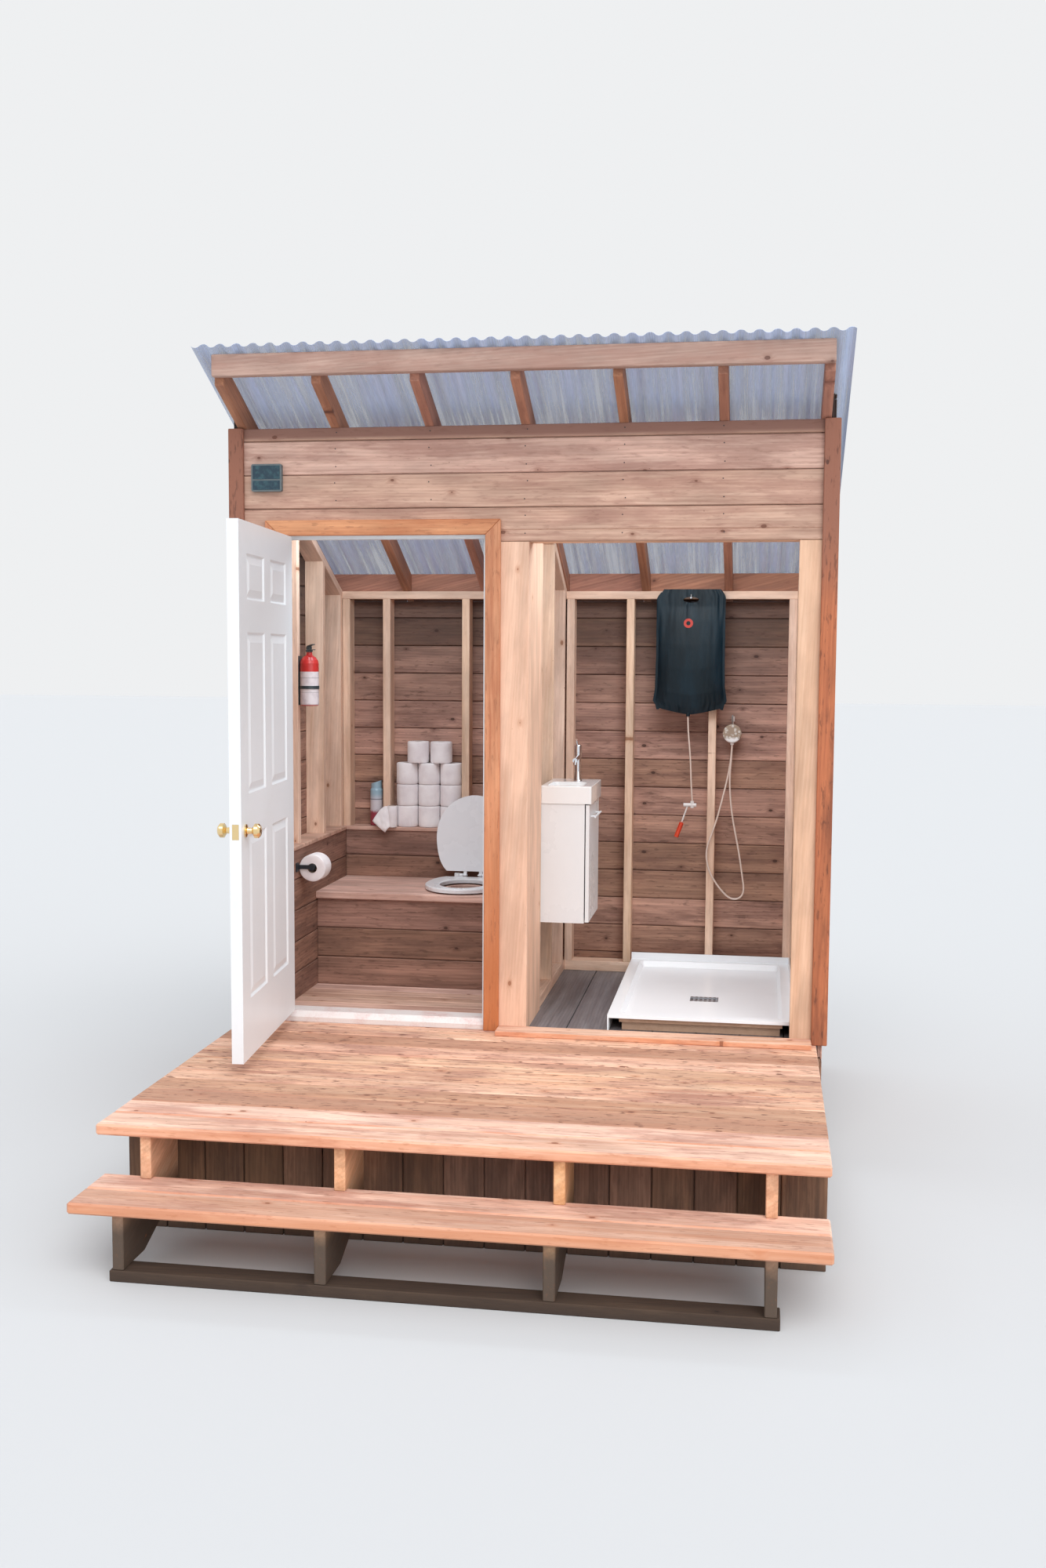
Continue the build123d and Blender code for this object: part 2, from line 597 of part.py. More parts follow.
def door():
    """Six-panel door leaf with its knobs, latch plate and hinges, standing open."""
    leaf = block(DOOR_LEFT, DOOR_RIGHT, FACE_Y, FACE_Y + DOOR_T, DOOR_Z, DOOR_Z + DOOR_H)
    panel_w = (DOOR_W - 2 * DOOR_STILE - DOOR_MULLION) / 2
    for low, height in PANEL_ROWS:
        for left in (DOOR_LEFT + DOOR_STILE, DOOR_RIGHT - DOOR_STILE - panel_w):
            for face, way in ((FACE_Y, 1), (FACE_Y + DOOR_T, -1)):
                leaf = leaf - door_groove(left, panel_w, DOOR_Z + low, height, face, way)
    knob_x = DOOR_RIGHT - KNOB_BACKSET
    knob_z = DOOR_Z + KNOB_H
    mid_y = FACE_Y + DOOR_T / 2
    leaf = leaf - rod((knob_x, FACE_Y - 5, knob_z), (knob_x, FACE_Y + DOOR_T + 5, knob_z),
                      SPINDLE_R + SEAT_GAP)
    pocket_x = DOOR_RIGHT - LATCH_T - SEAT_GAP
    leaf = leaf - block(pocket_x, DOOR_RIGHT + 1, mid_y - LATCH_W / 2 - SEAT_GAP,
                        mid_y + LATCH_W / 2 + SEAT_GAP, knob_z - LATCH_H / 2 - SEAT_GAP,
                        knob_z + LATCH_H / 2 + SEAT_GAP)
    write("door_leaf", opened(leaf))
    plate = block(pocket_x + SEAT_GAP, DOOR_RIGHT, mid_y - LATCH_W / 2, mid_y + LATCH_W / 2,
                  knob_z - LATCH_H / 2, knob_z + LATCH_H / 2)
    write("latch_plate", opened(plate))
    profile = [(SPINDLE_R, 0.5), (24, 0.5), (24, 5), (13, 9), (11, 26), (KNOB_R, 36), (KNOB_R, 50),
               (KNOB_R - 9, 58), (0, 60)]
    knobs = rod((knob_x, FACE_Y - 2, knob_z), (knob_x, FACE_Y + DOOR_T + 2, knob_z), SPINDLE_R)
    for face, way in ((FACE_Y, -1), (FACE_Y + DOOR_T, 1)):
        points = [(r, way * d) for r, d in profile] + [(0, way * 0.5)]
        face_2d = make_face(Polyline(*[(knob_x + r, face + d, knob_z) for r, d in points], close=True))
        knobs = knobs + revolve(face_2d, Axis((knob_x, 0, knob_z), (0, 1, 0)), 360)
    write("door_knobs", opened(knobs))
    fixed, moving = [], []
    for low in HINGE_HEIGHTS:
        z = DOOR_Z + low
        fixed.append(hinge_leaf(z, REBATE_LEFT, True))
        moving.append(hinge_leaf(z, DOOR_LEFT - HINGE_T, False))
    write("door_hinges", *fixed)
    write("hinge_leaves", *[opened(piece) for piece in moving])


def hinge_leaf(z, x, fixed):
    """One leaf of a butt hinge: the jamb's has the outer knuckles and the pin, the door's the middle."""
    third = KNUCKLE_H / 3
    outer = (z, z + third), (z + 2 * third, z + KNUCKLE_H)
    middle = ((z + third + SEAT_GAP, z + 2 * third - SEAT_GAP),)
    mine, other = (outer, middle) if fixed else (middle, outer)
    clear = PIN_Y + KNUCKLE_R + SEAT_GAP
    leaf = block(x, x + HINGE_T, PIN_Y, FACE_Y + 30, z, z + KNUCKLE_H)
    for low, high in other:
        leaf = leaf - block(x - 1, x + HINGE_T + 1, PIN_Y - 1, clear, low - 2 * SEAT_GAP,
                            high + 2 * SEAT_GAP)
    for low, high in mine:
        leaf = leaf + rod((PIN_X, PIN_Y, low), (PIN_X, PIN_Y, high), KNUCKLE_R)
    pin = rod((PIN_X, PIN_Y, z), (PIN_X, PIN_Y, z + KNUCKLE_H), PIN_R)
    if fixed:
        return leaf + pin
    return leaf - rod((PIN_X, PIN_Y, z - 1), (PIN_X, PIN_Y, z + KNUCKLE_H + 1), PIN_R + SEAT_GAP)


def roof():
    """Rafters notched over the plates, fascia, blocking and the corrugated sheet."""
    front = -FRONT_OVERHANG + STUD_T
    back = WALL_BACK + BACK_OVERHANG
    outline = [
        (front, rafter_under(front)),
        (back, rafter_under(back)),
        (back, rafter_top(back)),
        (front, rafter_top(front)),
    ]
    rafters = []
    for x in RAFTER_XS:
        rafter = prism_x(outline, x - STUD_T / 2, x + STUD_T / 2)
        rafter = rafter - block(x - 50, x + 50, FRAME_FRONT, STUD_FRONT_IN, FRONT_PLATE_TOP - 300,
                                FRONT_PLATE_TOP)
        rafter = rafter - block(x - 50, x + 50, STUD_BACK_IN, FRAME_BACK, BACK_PLATE_TOP - 300,
                                BACK_PLATE_TOP)
        rafters.append(rafter)
    write("rafters", *rafters)
    fascia_top = rafter_top(-FRONT_OVERHANG) - 0.5
    drop = SLOPE * STUD_T
    fascia = prism_x(
        [
            (-FRONT_OVERHANG, fascia_top - STUD_D),
            (-FRONT_OVERHANG + STUD_T, fascia_top - STUD_D),
            (-FRONT_OVERHANG + STUD_T, fascia_top - drop),
            (-FRONT_OVERHANG, fascia_top),
        ],
        -HALF_W, HALF_W,
    )
    write("fascia", fascia)
    blocks = []
    y0 = STUD_BACK_IN + 30
    for left, right in zip(RAFTER_XS, RAFTER_XS[1:]):
        x0, x1 = left + STUD_T / 2, right - STUD_T / 2
        outline = [
            (y0, BACK_PLATE_TOP),
            (y0 + STUD_T, BACK_PLATE_TOP),
            (y0 + STUD_T, rafter_top(y0 + STUD_T) - 2),
            (y0, rafter_top(y0) - 2),
        ]
        blocks.append(prism_x(outline, x0, x1))
    write("roof_blocking", *blocks)
    write("roof_sheet", roof_sheet())


def roof_sheet():
    """Corrugated sheet: one run of round waves carried down the slope."""
    half = HALF_W + SHEET_SIDE
    count = round(2 * half / WAVE_PITCH)
    pitch = 2 * half / count
    arcs = []
    for i in range(count):
        x = -half + i * pitch
        arcs.append((x, x + pitch / 2, False))
        arcs.append((x + pitch / 2, x + pitch, True))
    low, high = (WAVE_H - SHEET_T) / 2, (WAVE_H + SHEET_T) / 2
    lines = []
    for x0, x1, crest in arcs:
        peak = WAVE_H - SHEET_T if crest else 0.0
        lines.append(ThreePointArc((x0, low), ((x0 + x1) / 2, peak), (x1, low)))
    lines.append(Line((half, low), (half, high)))
    for x0, x1, crest in reversed(arcs):
        peak = WAVE_H if crest else SHEET_T
        lines.append(ThreePointArc((x1, high), ((x0 + x1) / 2, peak), (x0, high)))
    lines.append(Line((-half, high), (-half, low)))
    front = -FRONT_OVERHANG - SHEET_FRONT
    back = WALL_BACK + BACK_OVERHANG + 40
    length = (back - front) / cos(radians(ROOF_PITCH))
    face = Plane.XZ * make_face(lines)
    sheet = extrude(face, amount=length, dir=(0, 1, 0))
    sheet = sheet.rotate(Axis.X, -ROOF_PITCH)
    return sheet.move(Location((0, front, rafter_top(front))))


def toilet_room():
    """Bench with its hole, riser, lower wall boards and the ledge on top of them."""
    z0 = BENCH_TOP - BENCH_T
    top = block(LOWER_FACE_X, TOILET_R, BENCH_FRONT, LOWER_FACE_Y, z0, BENCH_TOP)
    hole = Pos(SEAT_X, SEAT_Y, z0 - 5) * extrude(Ellipse(*BENCH_HOLE), amount=BENCH_T + 10)
    write("bench_top", top - hole)
    riser_y = BENCH_FRONT + 23
    write("bench_riser", block(LOWER_FACE_X, TOILET_R, riser_y, riser_y + BOARD_T, DECK_TOP, z0))
    lower_top = LEDGE_TOP - BOARD_T
    left = block(-HALF_W + STUD_D, LOWER_FACE_X, STUD_FRONT_IN, STUD_BACK_IN, DECK_TOP, lower_top)
    back = block(LOWER_FACE_X + SEAT_GAP, TOILET_R, LOWER_FACE_Y, STUD_BACK_IN, DECK_TOP, lower_top)
    write("wall_boards", left, back)
    lip = 6.0
    left = block(-HALF_W, LOWER_FACE_X + lip, STUD_FRONT_IN, LOWER_FACE_Y - lip, lower_top, LEDGE_TOP)
    for y in SIDE_STUD_YS:
        left = left - block(-HALF_W - 1, -HALF_W + STUD_D + 0.5, y - STUD_T / 2 - 0.5,
                            y + STUD_T / 2 + 0.5, lower_top - 1, LEDGE_TOP + 1)
    back = block(-HALF_W + STUD_D, TOILET_R, LOWER_FACE_Y - lip + SEAT_GAP, FRAME_BACK, lower_top,
                 LEDGE_TOP)
    for x in BACK_STUD_XS[1:4]:
        back = back - block(x - STUD_T / 2 - 0.5, x + STUD_T / 2 + 0.5, STUD_BACK_IN - 0.5,
                            FRAME_BACK + 1, lower_top - 1, LEDGE_TOP + 1)
    write("ledge", left, back)


def seat_face(length, half):
    """The oval of the seat or lid, with a straight back; its front end points to -Y."""
    right = [(SEAT_X + share * half, SEAT_BACK - along * length) for along, share in SEAT_SHAPE]
    left = [(2 * SEAT_X - x, y) for x, y in reversed(right)]
    edge = Spline(*right, (SEAT_X, SEAT_BACK - length), *left)
    return make_face(edge + Line(left[-1], right[0]))


def toilet():
    """Seat ring, open lid and the two hinge blocks that carry them."""
    pin_r = 4.0
    seat_z = BENCH_TOP + 8
    lid_z = seat_z + SEAT_T + 6
    seat = Pos(0, 0, seat_z) * extrude(seat_face(SEAT_LEN, SEAT_HALF), amount=SEAT_T)
    seat = seat - Pos(SEAT_X, SEAT_Y, BENCH_TOP) * extrude(Ellipse(*SEAT_HOLE), amount=3 * SEAT_T)
    seat = fillet(seat.faces().sort_by(Axis.Z)[-1].edges(), SEAT_T * 0.3)
    lid = Pos(0, 0, lid_z) * extrude(seat_face(LID_LEN, LID_HALF), amount=LID_T)
    lid = fillet(lid.faces().sort_by(Axis.Z)[-1].edges(), LID_T * 0.35)
    posts = []
    for side in (-1, 1):
        x = SEAT_X + side * SEAT_POST_OFF
        post = block(x - 12, x + 12, SEAT_HINGE_Y - 14, SEAT_HINGE_Y + 14, BENCH_TOP, SEAT_HINGE_Z + 10)
        inner = x - side * 52
        pin = rod((x, SEAT_HINGE_Y, SEAT_HINGE_Z), (inner, SEAT_HINGE_Y, SEAT_HINGE_Z), pin_r)
        posts.append(fillet(post.edges().filter_by(Axis.Z), 4) + pin)
        near, far = x - side * 13, x - side * 29
        seat = seat + hinge_ear(near, far, seat_z + 2, seat_z + SEAT_T - 2, pin_r + SEAT_GAP)
        near, far = x - side * 31, x - side * 47
        lid = lid + hinge_ear(near, far, lid_z + 2, lid_z + LID_T - 2, pin_r + SEAT_GAP)
    write("seat_hinges", *posts)
    write("toilet_seat", seat)
    axis = Axis((SEAT_X, SEAT_HINGE_Y, SEAT_HINGE_Z), (-1, 0, 0))
    write("toilet_lid", lid.rotate(axis, LID_OPEN))


def hinge_ear(x0, x1, z0, z1, bore_r):
    """A lug from the back of the seat or lid to its barrel on the pin."""
    a, b = sorted((x0, x1))
    barrel = rod((a, SEAT_HINGE_Y, SEAT_HINGE_Z), (b, SEAT_HINGE_Y, SEAT_HINGE_Z), 9)
    lug = block(a, b, SEAT_HINGE_Y - 40, SEAT_HINGE_Y - 3, z0, z1)
    bore = rod((a - 1, SEAT_HINGE_Y, SEAT_HINGE_Z), (b + 1, SEAT_HINGE_Y, SEAT_HINGE_Z), bore_r)
    return (barrel + lug) - bore


def basin_unit():
    """Wall-hung cabinet with its door and the basin on top."""
    t = CABINET_T
    x0 = PARTITION_X + SEAT_GAP
    x1 = PANEL_FACE + CABINET_D - t - DOOR_CLEAR
    y0, y1 = CABINET_Y, CABINET_Y + CABINET_W
    z0, z1 = CABINET_Z, CABINET_Z + CABINET_H
    shell = block(x0, x1, y0, y1, z0, z1) - block(x0 + 3, x1 + 1, y0 + t, y1 - t, z0 + t, z1 - t)
    door_x0, door_x1 = x1 + DOOR_CLEAR, x1 + DOOR_CLEAR + t
    tab = 4.0
    pivot = (door_x0 + t / 2, y1 - 8)
    pin_r = 2.5
    for z, way in ((z0, 1), (z1 - tab, -1)):
        shell = shell + block(x1 - t, pivot[0] + 6, y1 - 16, y1, z, z + tab)
        start = z + tab / 2
        end = start + way * 12
        shell = shell + rod((*pivot, start), (*pivot, end), pin_r)
    write("cabinet", shell)
    leaf = block(door_x0, door_x1, y0, y1, z0 + tab + 1, z1 - tab - 1)
    corner = rod((*pivot, z0), (*pivot, z1), t / 2 - 0.1)
    leaf = leaf - block(door_x0 - 1, door_x1 + 1, pivot[1], y1 + 1, z0, z1) + (
        corner & block(door_x0 - 1, door_x1 + 1, pivot[1] - 1, y1 + 1, z0 + tab + 1, z1 - tab - 1))
    leaf = leaf - rod((*pivot, z0), (*pivot, z0 + tab + 14), pin_r + SEAT_GAP)
    leaf = leaf - rod((*pivot, z1 - tab - 14), (*pivot, z1), pin_r + SEAT_GAP)
    bar_z = DECK_TOP + HANDLE_H
    bar_x = door_x1 + 18
    bar = rod((bar_x, y0 + 70, bar_z), (bar_x, y1 - 90, bar_z), 5)
    for y in (y0 + 90, y1 - 110):
        bar = bar + rod((door_x1 - 2, y, bar_z), (bar_x, y, bar_z), 4)
    write("cabinet_door", leaf + bar)
    basin = block(x0, PANEL_FACE + BASIN_D, y0 - 5, y0 - 5 + BASIN_W, z1, z1 + BASIN_H)
    basin = fillet(basin.edges().filter_by(Axis.Z), 8)
    basin = fillet(basin.faces().sort_by(Axis.Z)[-1].edges(), 3)
    rim = Plane(origin=(x0 + 105, y0 + 130, z1 + BASIN_H))
    bowl = extrude(rim * RectangleRounded(BOWL_D, BOWL_W, 30), amount=-(BASIN_H - BOWL_FLOOR), taper=9)
    bowl = fillet(bowl.faces().sort_by(Axis.Z)[0].edges(), 12)
    write("basin", basin - bowl)
    tap(PARTITION_X + TAP_OFF, y0 + 285, z1 + BASIN_H)


def tap(x, y, z):
    """Single-lever tap: a slim body on a round foot, its spout toward the bowl, a cap and a lever."""
    waist = TAP_R - 4
    profile = [(0, 0), (TAP_R + 3, 0), (TAP_R + 3, 3), (TAP_R, 8), (waist, 45), (waist + 0.5, 90),
               (TAP_R, TAP_H), (0, TAP_H)]
    body = revolve(make_face(Polyline(*[(x + r, y, z + h) for r, h in profile], close=True)),
                   Axis((x, y, z), (0, 0, 1)), 360)
    root = (x, y, z + TAP_H - 20)
    tip = (x, y - TAP_REACH, z + TAP_H - 32)
    mouth = (x, y - TAP_REACH + 8, z + TAP_H - 31)
    body = body + rod(root, tip, 11) + rod(mouth, (mouth[0], mouth[1], mouth[2] - 20), 9)
    write("tap_body", body)
    cap_z = z + TAP_H + SEAT_GAP
    cap = rod((x, y, cap_z), (x, y, cap_z + TAP_CAP_H), TAP_R)
    cap = fillet(cap.faces().sort_by(Axis.Z)[-1].edges(), 8)
    lever = rod((x, y, cap_z + TAP_CAP_H - 12), (x, y - 52, cap_z + TAP_CAP_H + 24), 4.5)
    write("tap_lever", cap + lever)


def shower_tray():
    """Raised tray with a sunk pan, open at the front below its lip, and the pad that carries it."""
    x0, x1, y0, y1, h = TRAY_X0, TRAY_X1, TRAY_Y0, TRAY_Y1, TRAY_H
    z0 = DECK_TOP
    wall, rim = TRAY_WALL, TRAY_RIM
    tray = block(x0, x1, y0, y1, z0, z0 + h)
    pan = Pos((x0 + x1) / 2, (y0 + y1) / 2, z0 + h + 0.1) * extrude(
        RectangleRounded(x1 - x0 - 2 * rim, y1 - y0 - 2 * rim, 25), amount=-26, taper=30)
    under = block(x0 + wall, x1 - wall, y0 - 1, y1 - wall, z0 - 1, z0 + h - 14)
    floor_z = z0 + h - 34
    pan_body = block(x0 + rim, x1 - rim, y0 + rim / 2, y1 - rim, floor_z, z0 + h - 13)
    tray = tray - (under - pan_body) - pan
    flange = block(x0, x1, y1 - wall, y1, z0 + h - 1, z0 + h + 32)
    flange = flange + block(x1 - wall, x1, y0, y1, z0 + h - 1, z0 + h + 32)
    tray = tray + flange
    drain_x, drain_y = (x0 + x1) / 2, y0 + DRAIN_OFF
    drain = block(drain_x - DRAIN_W / 2, drain_x + DRAIN_W / 2, drain_y - DRAIN_D / 2,
                  drain_y + DRAIN_D / 2, floor_z + 4, z0 + h)
    tray = tray - drain
    pad = block(x0 + rim + 10, x1 - rim - 10, y0 + rim, y1 - rim - 10, z0, floor_z - SEAT_GAP)
    write("shower_tray", tray, pad)


def cord_path(points):
    """Straight runs joined by tangent arcs, each arc as large as its two runs allow."""
    vectors = [Vector(*p) for p in points]
    radii = []
    for a, b, c in zip(vectors, vectors[1:], vectors[2:]):
        before, after = b - a, c - b
        turn = radians(before.get_angle(after))
        radii.append(0.45 * min(before.length, after.length) / tan(turn / 2))
    print("arc radii", [round(r) for r in radii])
    return FilletPolyline(*points, radius=radii)


def placed(points, x, y):
    """A cord's route moved from its own middle to its place in the building."""
    return [(x + across, y + inward, DECK_TOP + rise) for across, inward, rise in points]


def cord(points, radius):
    """A round tube along a route of points."""
    path = cord_path(points)
    start = path @ 0
    section = Plane(origin=start, z_dir=path % 0) * Circle(radius)
    tube = sweep(section, path=path)
    print("tube length", round(path.length), "volume ratio",
          round(tube.volume / (path.length * 3.14159 * radius ** 2), 3))
    return tube


# Cord routes: across, into the building and above the deck; the tube's from the middle of the
# bag, the hose's from the middle of the shower head
TUBE_POINTS = [
    (-7.0, 0.0, 1283.0),
    (-5.0, 1.0, 1210.0),
    (3.0, 2.0, 1136.0),
    (9.0, 3.0, 1060.0),
    (12.0, 3.5, 985.0),
    (16.0, 3.0, 918.0),
    (20.0, 2.0, 870.0),
]
HOSE_POINTS = [
    (0.0, 0.0, 1143.0),
    (-3.0, -3.0, 1075.0),
    (-9.0, -14.0, 985.0),
    (-5.0, -24.0, 895.0),
    (5.0, -32.0, 810.0),
    (20.0, -38.0, 730.0),
    (37.0, -43.0, 650.0),
    (51.0, -47.0, 570.0),
    (62.0, -51.0, 498.0),
    (71.0, -53.0, 440.0),
    (63.0, -55.0, 405.0),
    (37.0, -56.0, 388.0),
    (3.0, -56.0, 391.0),
    (-29.0, -56.0, 418.0),
    (-64.0, -57.0, 461.0),
    (-96.0, -57.0, 514.0),
    (-115.0, -57.0, 578.0),
    (-114.0, -57.0, 640.0),
    (-89.0, -56.0, 710.0),
    (-65.0, -50.0, 785.0),
    (-44.0, -30.0, 872.0),
    (-23.0, 0.0, 960.0),
    (-8.0, 18.0, 1045.0),
    (-1.0, 28.0, 1130.0),
    (2.0, 33.0, 1200.0),
    (2.5, 34.0, 1256.0),
]


def bag_shower():
    """Water bag on its hook, the tube under it, and the valve with its short nozzle."""
    half, belly = BAG_HALF, BAG_T / 2
    outline = [(BAG_X + x * half, BAG_TIP + z * BAG_H) for x, z in BAG_SHAPE]
    outline += [(BAG_X - x * half, BAG_TIP + z * BAG_H) for x, z in reversed(BAG_SHAPE)]
    side = [(BAG_Y + y * belly, BAG_TIP + z * BAG_H) for y, z in BAG_SECTION]
    side += [(BAG_Y - y * belly, BAG_TIP + z * BAG_H) for y, z in reversed(BAG_SECTION)]
    bag = prism_y(outline, BAG_Y - BAG_T, BAG_Y + BAG_T)
    bag = bag & prism_x(side, BAG_X - 2 * half, BAG_X + 2 * half)
    hole_z = BAG_TOP - HAND_HOLE_DROP
    plane = Plane(origin=(BAG_X, BAG_Y - BAG_T, hole_z), x_dir=(1, 0, 0), z_dir=(0, 1, 0))
    hole = extrude(plane * RectangleRounded(HAND_HOLE_W, HAND_HOLE_H, HAND_HOLE_H * 0.45),
                   amount=2 * BAG_T)
    bag = bag - hole
    tube = placed(TUBE_POINTS, BAG_X, BAG_Y)
    start = Vector(*tube[0])
    spout = rod((start.X, start.Y, BAG_TIP + 40), (start.X, start.Y, start.Z + CORD_GAP),
                BAG_NECK_R)
    write("shower_bag", bag + spout)
    hook_z = hole_z + HAND_HOLE_H / 2 - HOOK_R - SEAT_GAP
    reach = BAG_Y - 16
    hook = rod((BAG_X, STUD_BACK_IN + SEAT_GAP, hook_z), (BAG_X, reach, hook_z), HOOK_R)
    tip_y = reach + HOOK_R + 0.5
    hook = hook + rod((BAG_X, tip_y, hook_z), (BAG_X, tip_y, hook_z + 16), 0.8 * HOOK_R)
    head_hook = rod((HEAD_X, FRAME_BACK, NAIL_Z), (HEAD_X, HEAD_Y - NAIL_R, NAIL_Z), NAIL_R)
    head_hook = head_hook + rod((HEAD_X, HEAD_Y, NAIL_Z), (HEAD_X, HEAD_Y, HEAD_Z + HEAD_R + SEAT_GAP),
                                NAIL_R)
    write("wall_hooks", hook, head_hook)
    write("bag_tube", cord(tube, BAG_TUBE_R))
    end = Vector(*tube[-1])
    valve = rod((end.X, end.Y, end.Z - CORD_GAP), (end.X, end.Y, end.Z - VALVE_H), BAG_NECK_R)
    mid_z = end.Z - VALVE_MID
    valve = valve + rod((end.X - VALVE_ARM, end.Y, mid_z), (end.X + VALVE_MID, end.Y, mid_z),
                        BAG_NECK_R)
    neck = (end.X - NOZZLE_OFF, end.Y, end.Z - NOZZLE_DROP)
    nozzle = rod((end.X - VALVE_ARM / 2, end.Y, mid_z), neck, BAG_TUBE_R)
    root = (neck[0] + 5, end.Y, neck[2] + 14)
    nozzle = nozzle + rod(root, (end.X - TIP_OFF, end.Y, end.Z - TIP_DROP), TIP_R)
    write("bag_valve", valve + nozzle)


def shower_head():
    """Round shower head on its hook and the hose that hangs from it in one long loop."""
    x, z, y0, y1 = HEAD_X, HEAD_Z, HEAD_Y - HEAD_DEPTH / 2, HEAD_Y + HEAD_DEPTH / 2
    rim = x + HEAD_R
    profile = [
        Line((x, y0, z), (rim - 8, y0, z)),
        ThreePointArc((rim - 8, y0, z), (rim - 2, y0 + 3, z), (rim, y0 + 9, z)),
        Line((rim, y0 + 9, z), (rim, y1 - 18, z)),
        ThreePointArc((rim, y1 - 18, z), (rim - 18, y1 - 5, z), (x, y1, z)),
        Line((x, y1, z), (x, y0, z)),
    ]
    head = revolve(make_face(profile), Axis((x, HEAD_Y, z), (0, 1, 0)), 360)
    hose = placed(HOSE_POINTS, HEAD_X, HEAD_Y)
    start = Vector(*hose[0])
    head = head + rod((x, HEAD_Y, z - HEAD_R + 8), (x, HEAD_Y, start.Z + CORD_GAP), 9)
    write("shower_head", head)
    write("shower_hose", cord(hose, HOSE_R))
    end = Vector(*hose[-1])
    clip = rod((end.X, end.Y, end.Z + CORD_GAP), (end.X, end.Y, NAIL_Z - NAIL_R - SEAT_GAP), 8)
    write("hose_connector", clip)


def turned(points, x, y, z):
    """A solid turned about an upright line from (radius, height) points."""
    outline = [(x + r, y, z + h) for r, h in points]
    return revolve(make_face(Polyline(*outline, close=True)), Axis((x, y, z), (0, 0, 1)), 360)


def extinguisher():
    """Bottle in its wall bracket, with the strap, the valve, the carrying handle and the lever."""
    wall_x = -HALF_W + STUD_D
    x, y, z = wall_x + BOTTLE_R + 3, SIDE_STUD_YS[1] + 12, DECK_TOP + BOTTLE_LOW
    r = BOTTLE_R
    bottle = turned([(0, 0), (r - 7, 0), (r - 2, 3), (r, 9), (r, 195), (r - 4, 209), (r - 14, 222),
                     (15, 232), (13, 246), (0, 246)], x, y, z)
    neck_z = z + 246 + SEAT_GAP
    head = turned([(0, 0), (16, 0), (16, 8), (12, 12), (12, 26), (0, 26)], x, y, neck_z)
    head = head + block(x - 7, x + 7, y - 66, y + 12, neck_z + 8, neck_z + 12)
    squeeze = block(x - 7, x + 7, y - 60, y + 12, neck_z + 26, neck_z + 30)
    head = head + squeeze.rotate(Axis((x, y, neck_z + 26), (1, 0, 0)), -6)
    gauge = rod((x, y + 8, neck_z + 18), (x, y + 20, neck_z + 18), 9)
    head = (head + gauge).rotate(Axis((x, y, z), (0, 0, 1)), 36)
    strap_r = r + SEAT_GAP
    strap = Pos(x, y, z + 85) * (Cylinder(strap_r + 2.2, 14) - Cylinder(strap_r, 16))
    bracket = block(wall_x, x - strap_r, y - 22, y + 22, z + 4, z + 228)
    bracket = bracket - Pos(x, y, z + 116) * Cylinder(strap_r, 300)
    write("extinguisher", bottle, head, bracket + strap)


def paper():
    """The rolls stacked on the ledge, one almost used up, and the roll on its wall holder."""
    radius, height = PAPER_R, PAPER_H
    base = LEDGE_TOP + SEAT_GAP
    y = FRAME_BACK - radius - 1
    stud_side = TOILET_STUD + STUD_T / 2
    first = stud_side + 26 + radius
    pitch = 2 * radius + 1
    rolls = []
    for column in range(3):
        for row in range(3):
            rolls.append((first + column * pitch, y, base + row * (height + 0.5)))
    for column in (0.5, 1.55):
        rolls.append((first + column * pitch, y - 2, base + 3 * (height + 0.5)))
    shapes = [
        Pos(x, yy, z + height / 2) * (Cylinder(radius, height) - Cylinder(PAPER_CORE, height + 2))
        for x, yy, z in rolls
    ]
    worn = Cylinder(WORN_ROLL_R, height) - Cylinder(PAPER_CORE, height + 2)
    shapes.append(Pos(stud_side + 15, STUD_BACK_IN - 22, base + height / 2) * worn)
    write("paper_rolls", *shapes)
    hx, hy, hz = LOWER_FACE_X, WALL_ROLL_Y, DECK_TOP + WALL_ROLL_H
    core, spindle_r, half = PAPER_CORE, 15.0, 50.0
    x = hx + WALL_ROLL_R + 3
    spindle_z = hz + core - spindle_r - SEAT_GAP
    roll = rod((x, hy - half, hz), (x, hy + half, hz), WALL_ROLL_R)
    write("paper_roll", roll - rod((x, hy - half - 1, hz), (x, hy + half + 1, hz), core))
    front = hy - half - 3
    holder = block(hx, hx + 5, front - 38, front, spindle_z - 20, spindle_z + 20)
    holder = fillet(holder.edges().filter_by(Axis.X), 6)
    holder = holder + block(hx, x + 12, front - 8, front, spindle_z - 9, spindle_z + 9)
    holder = holder + rod((x, front - 8, spindle_z), (x, hy + half + 4, spindle_z), spindle_r)
    write("roll_holder", holder)


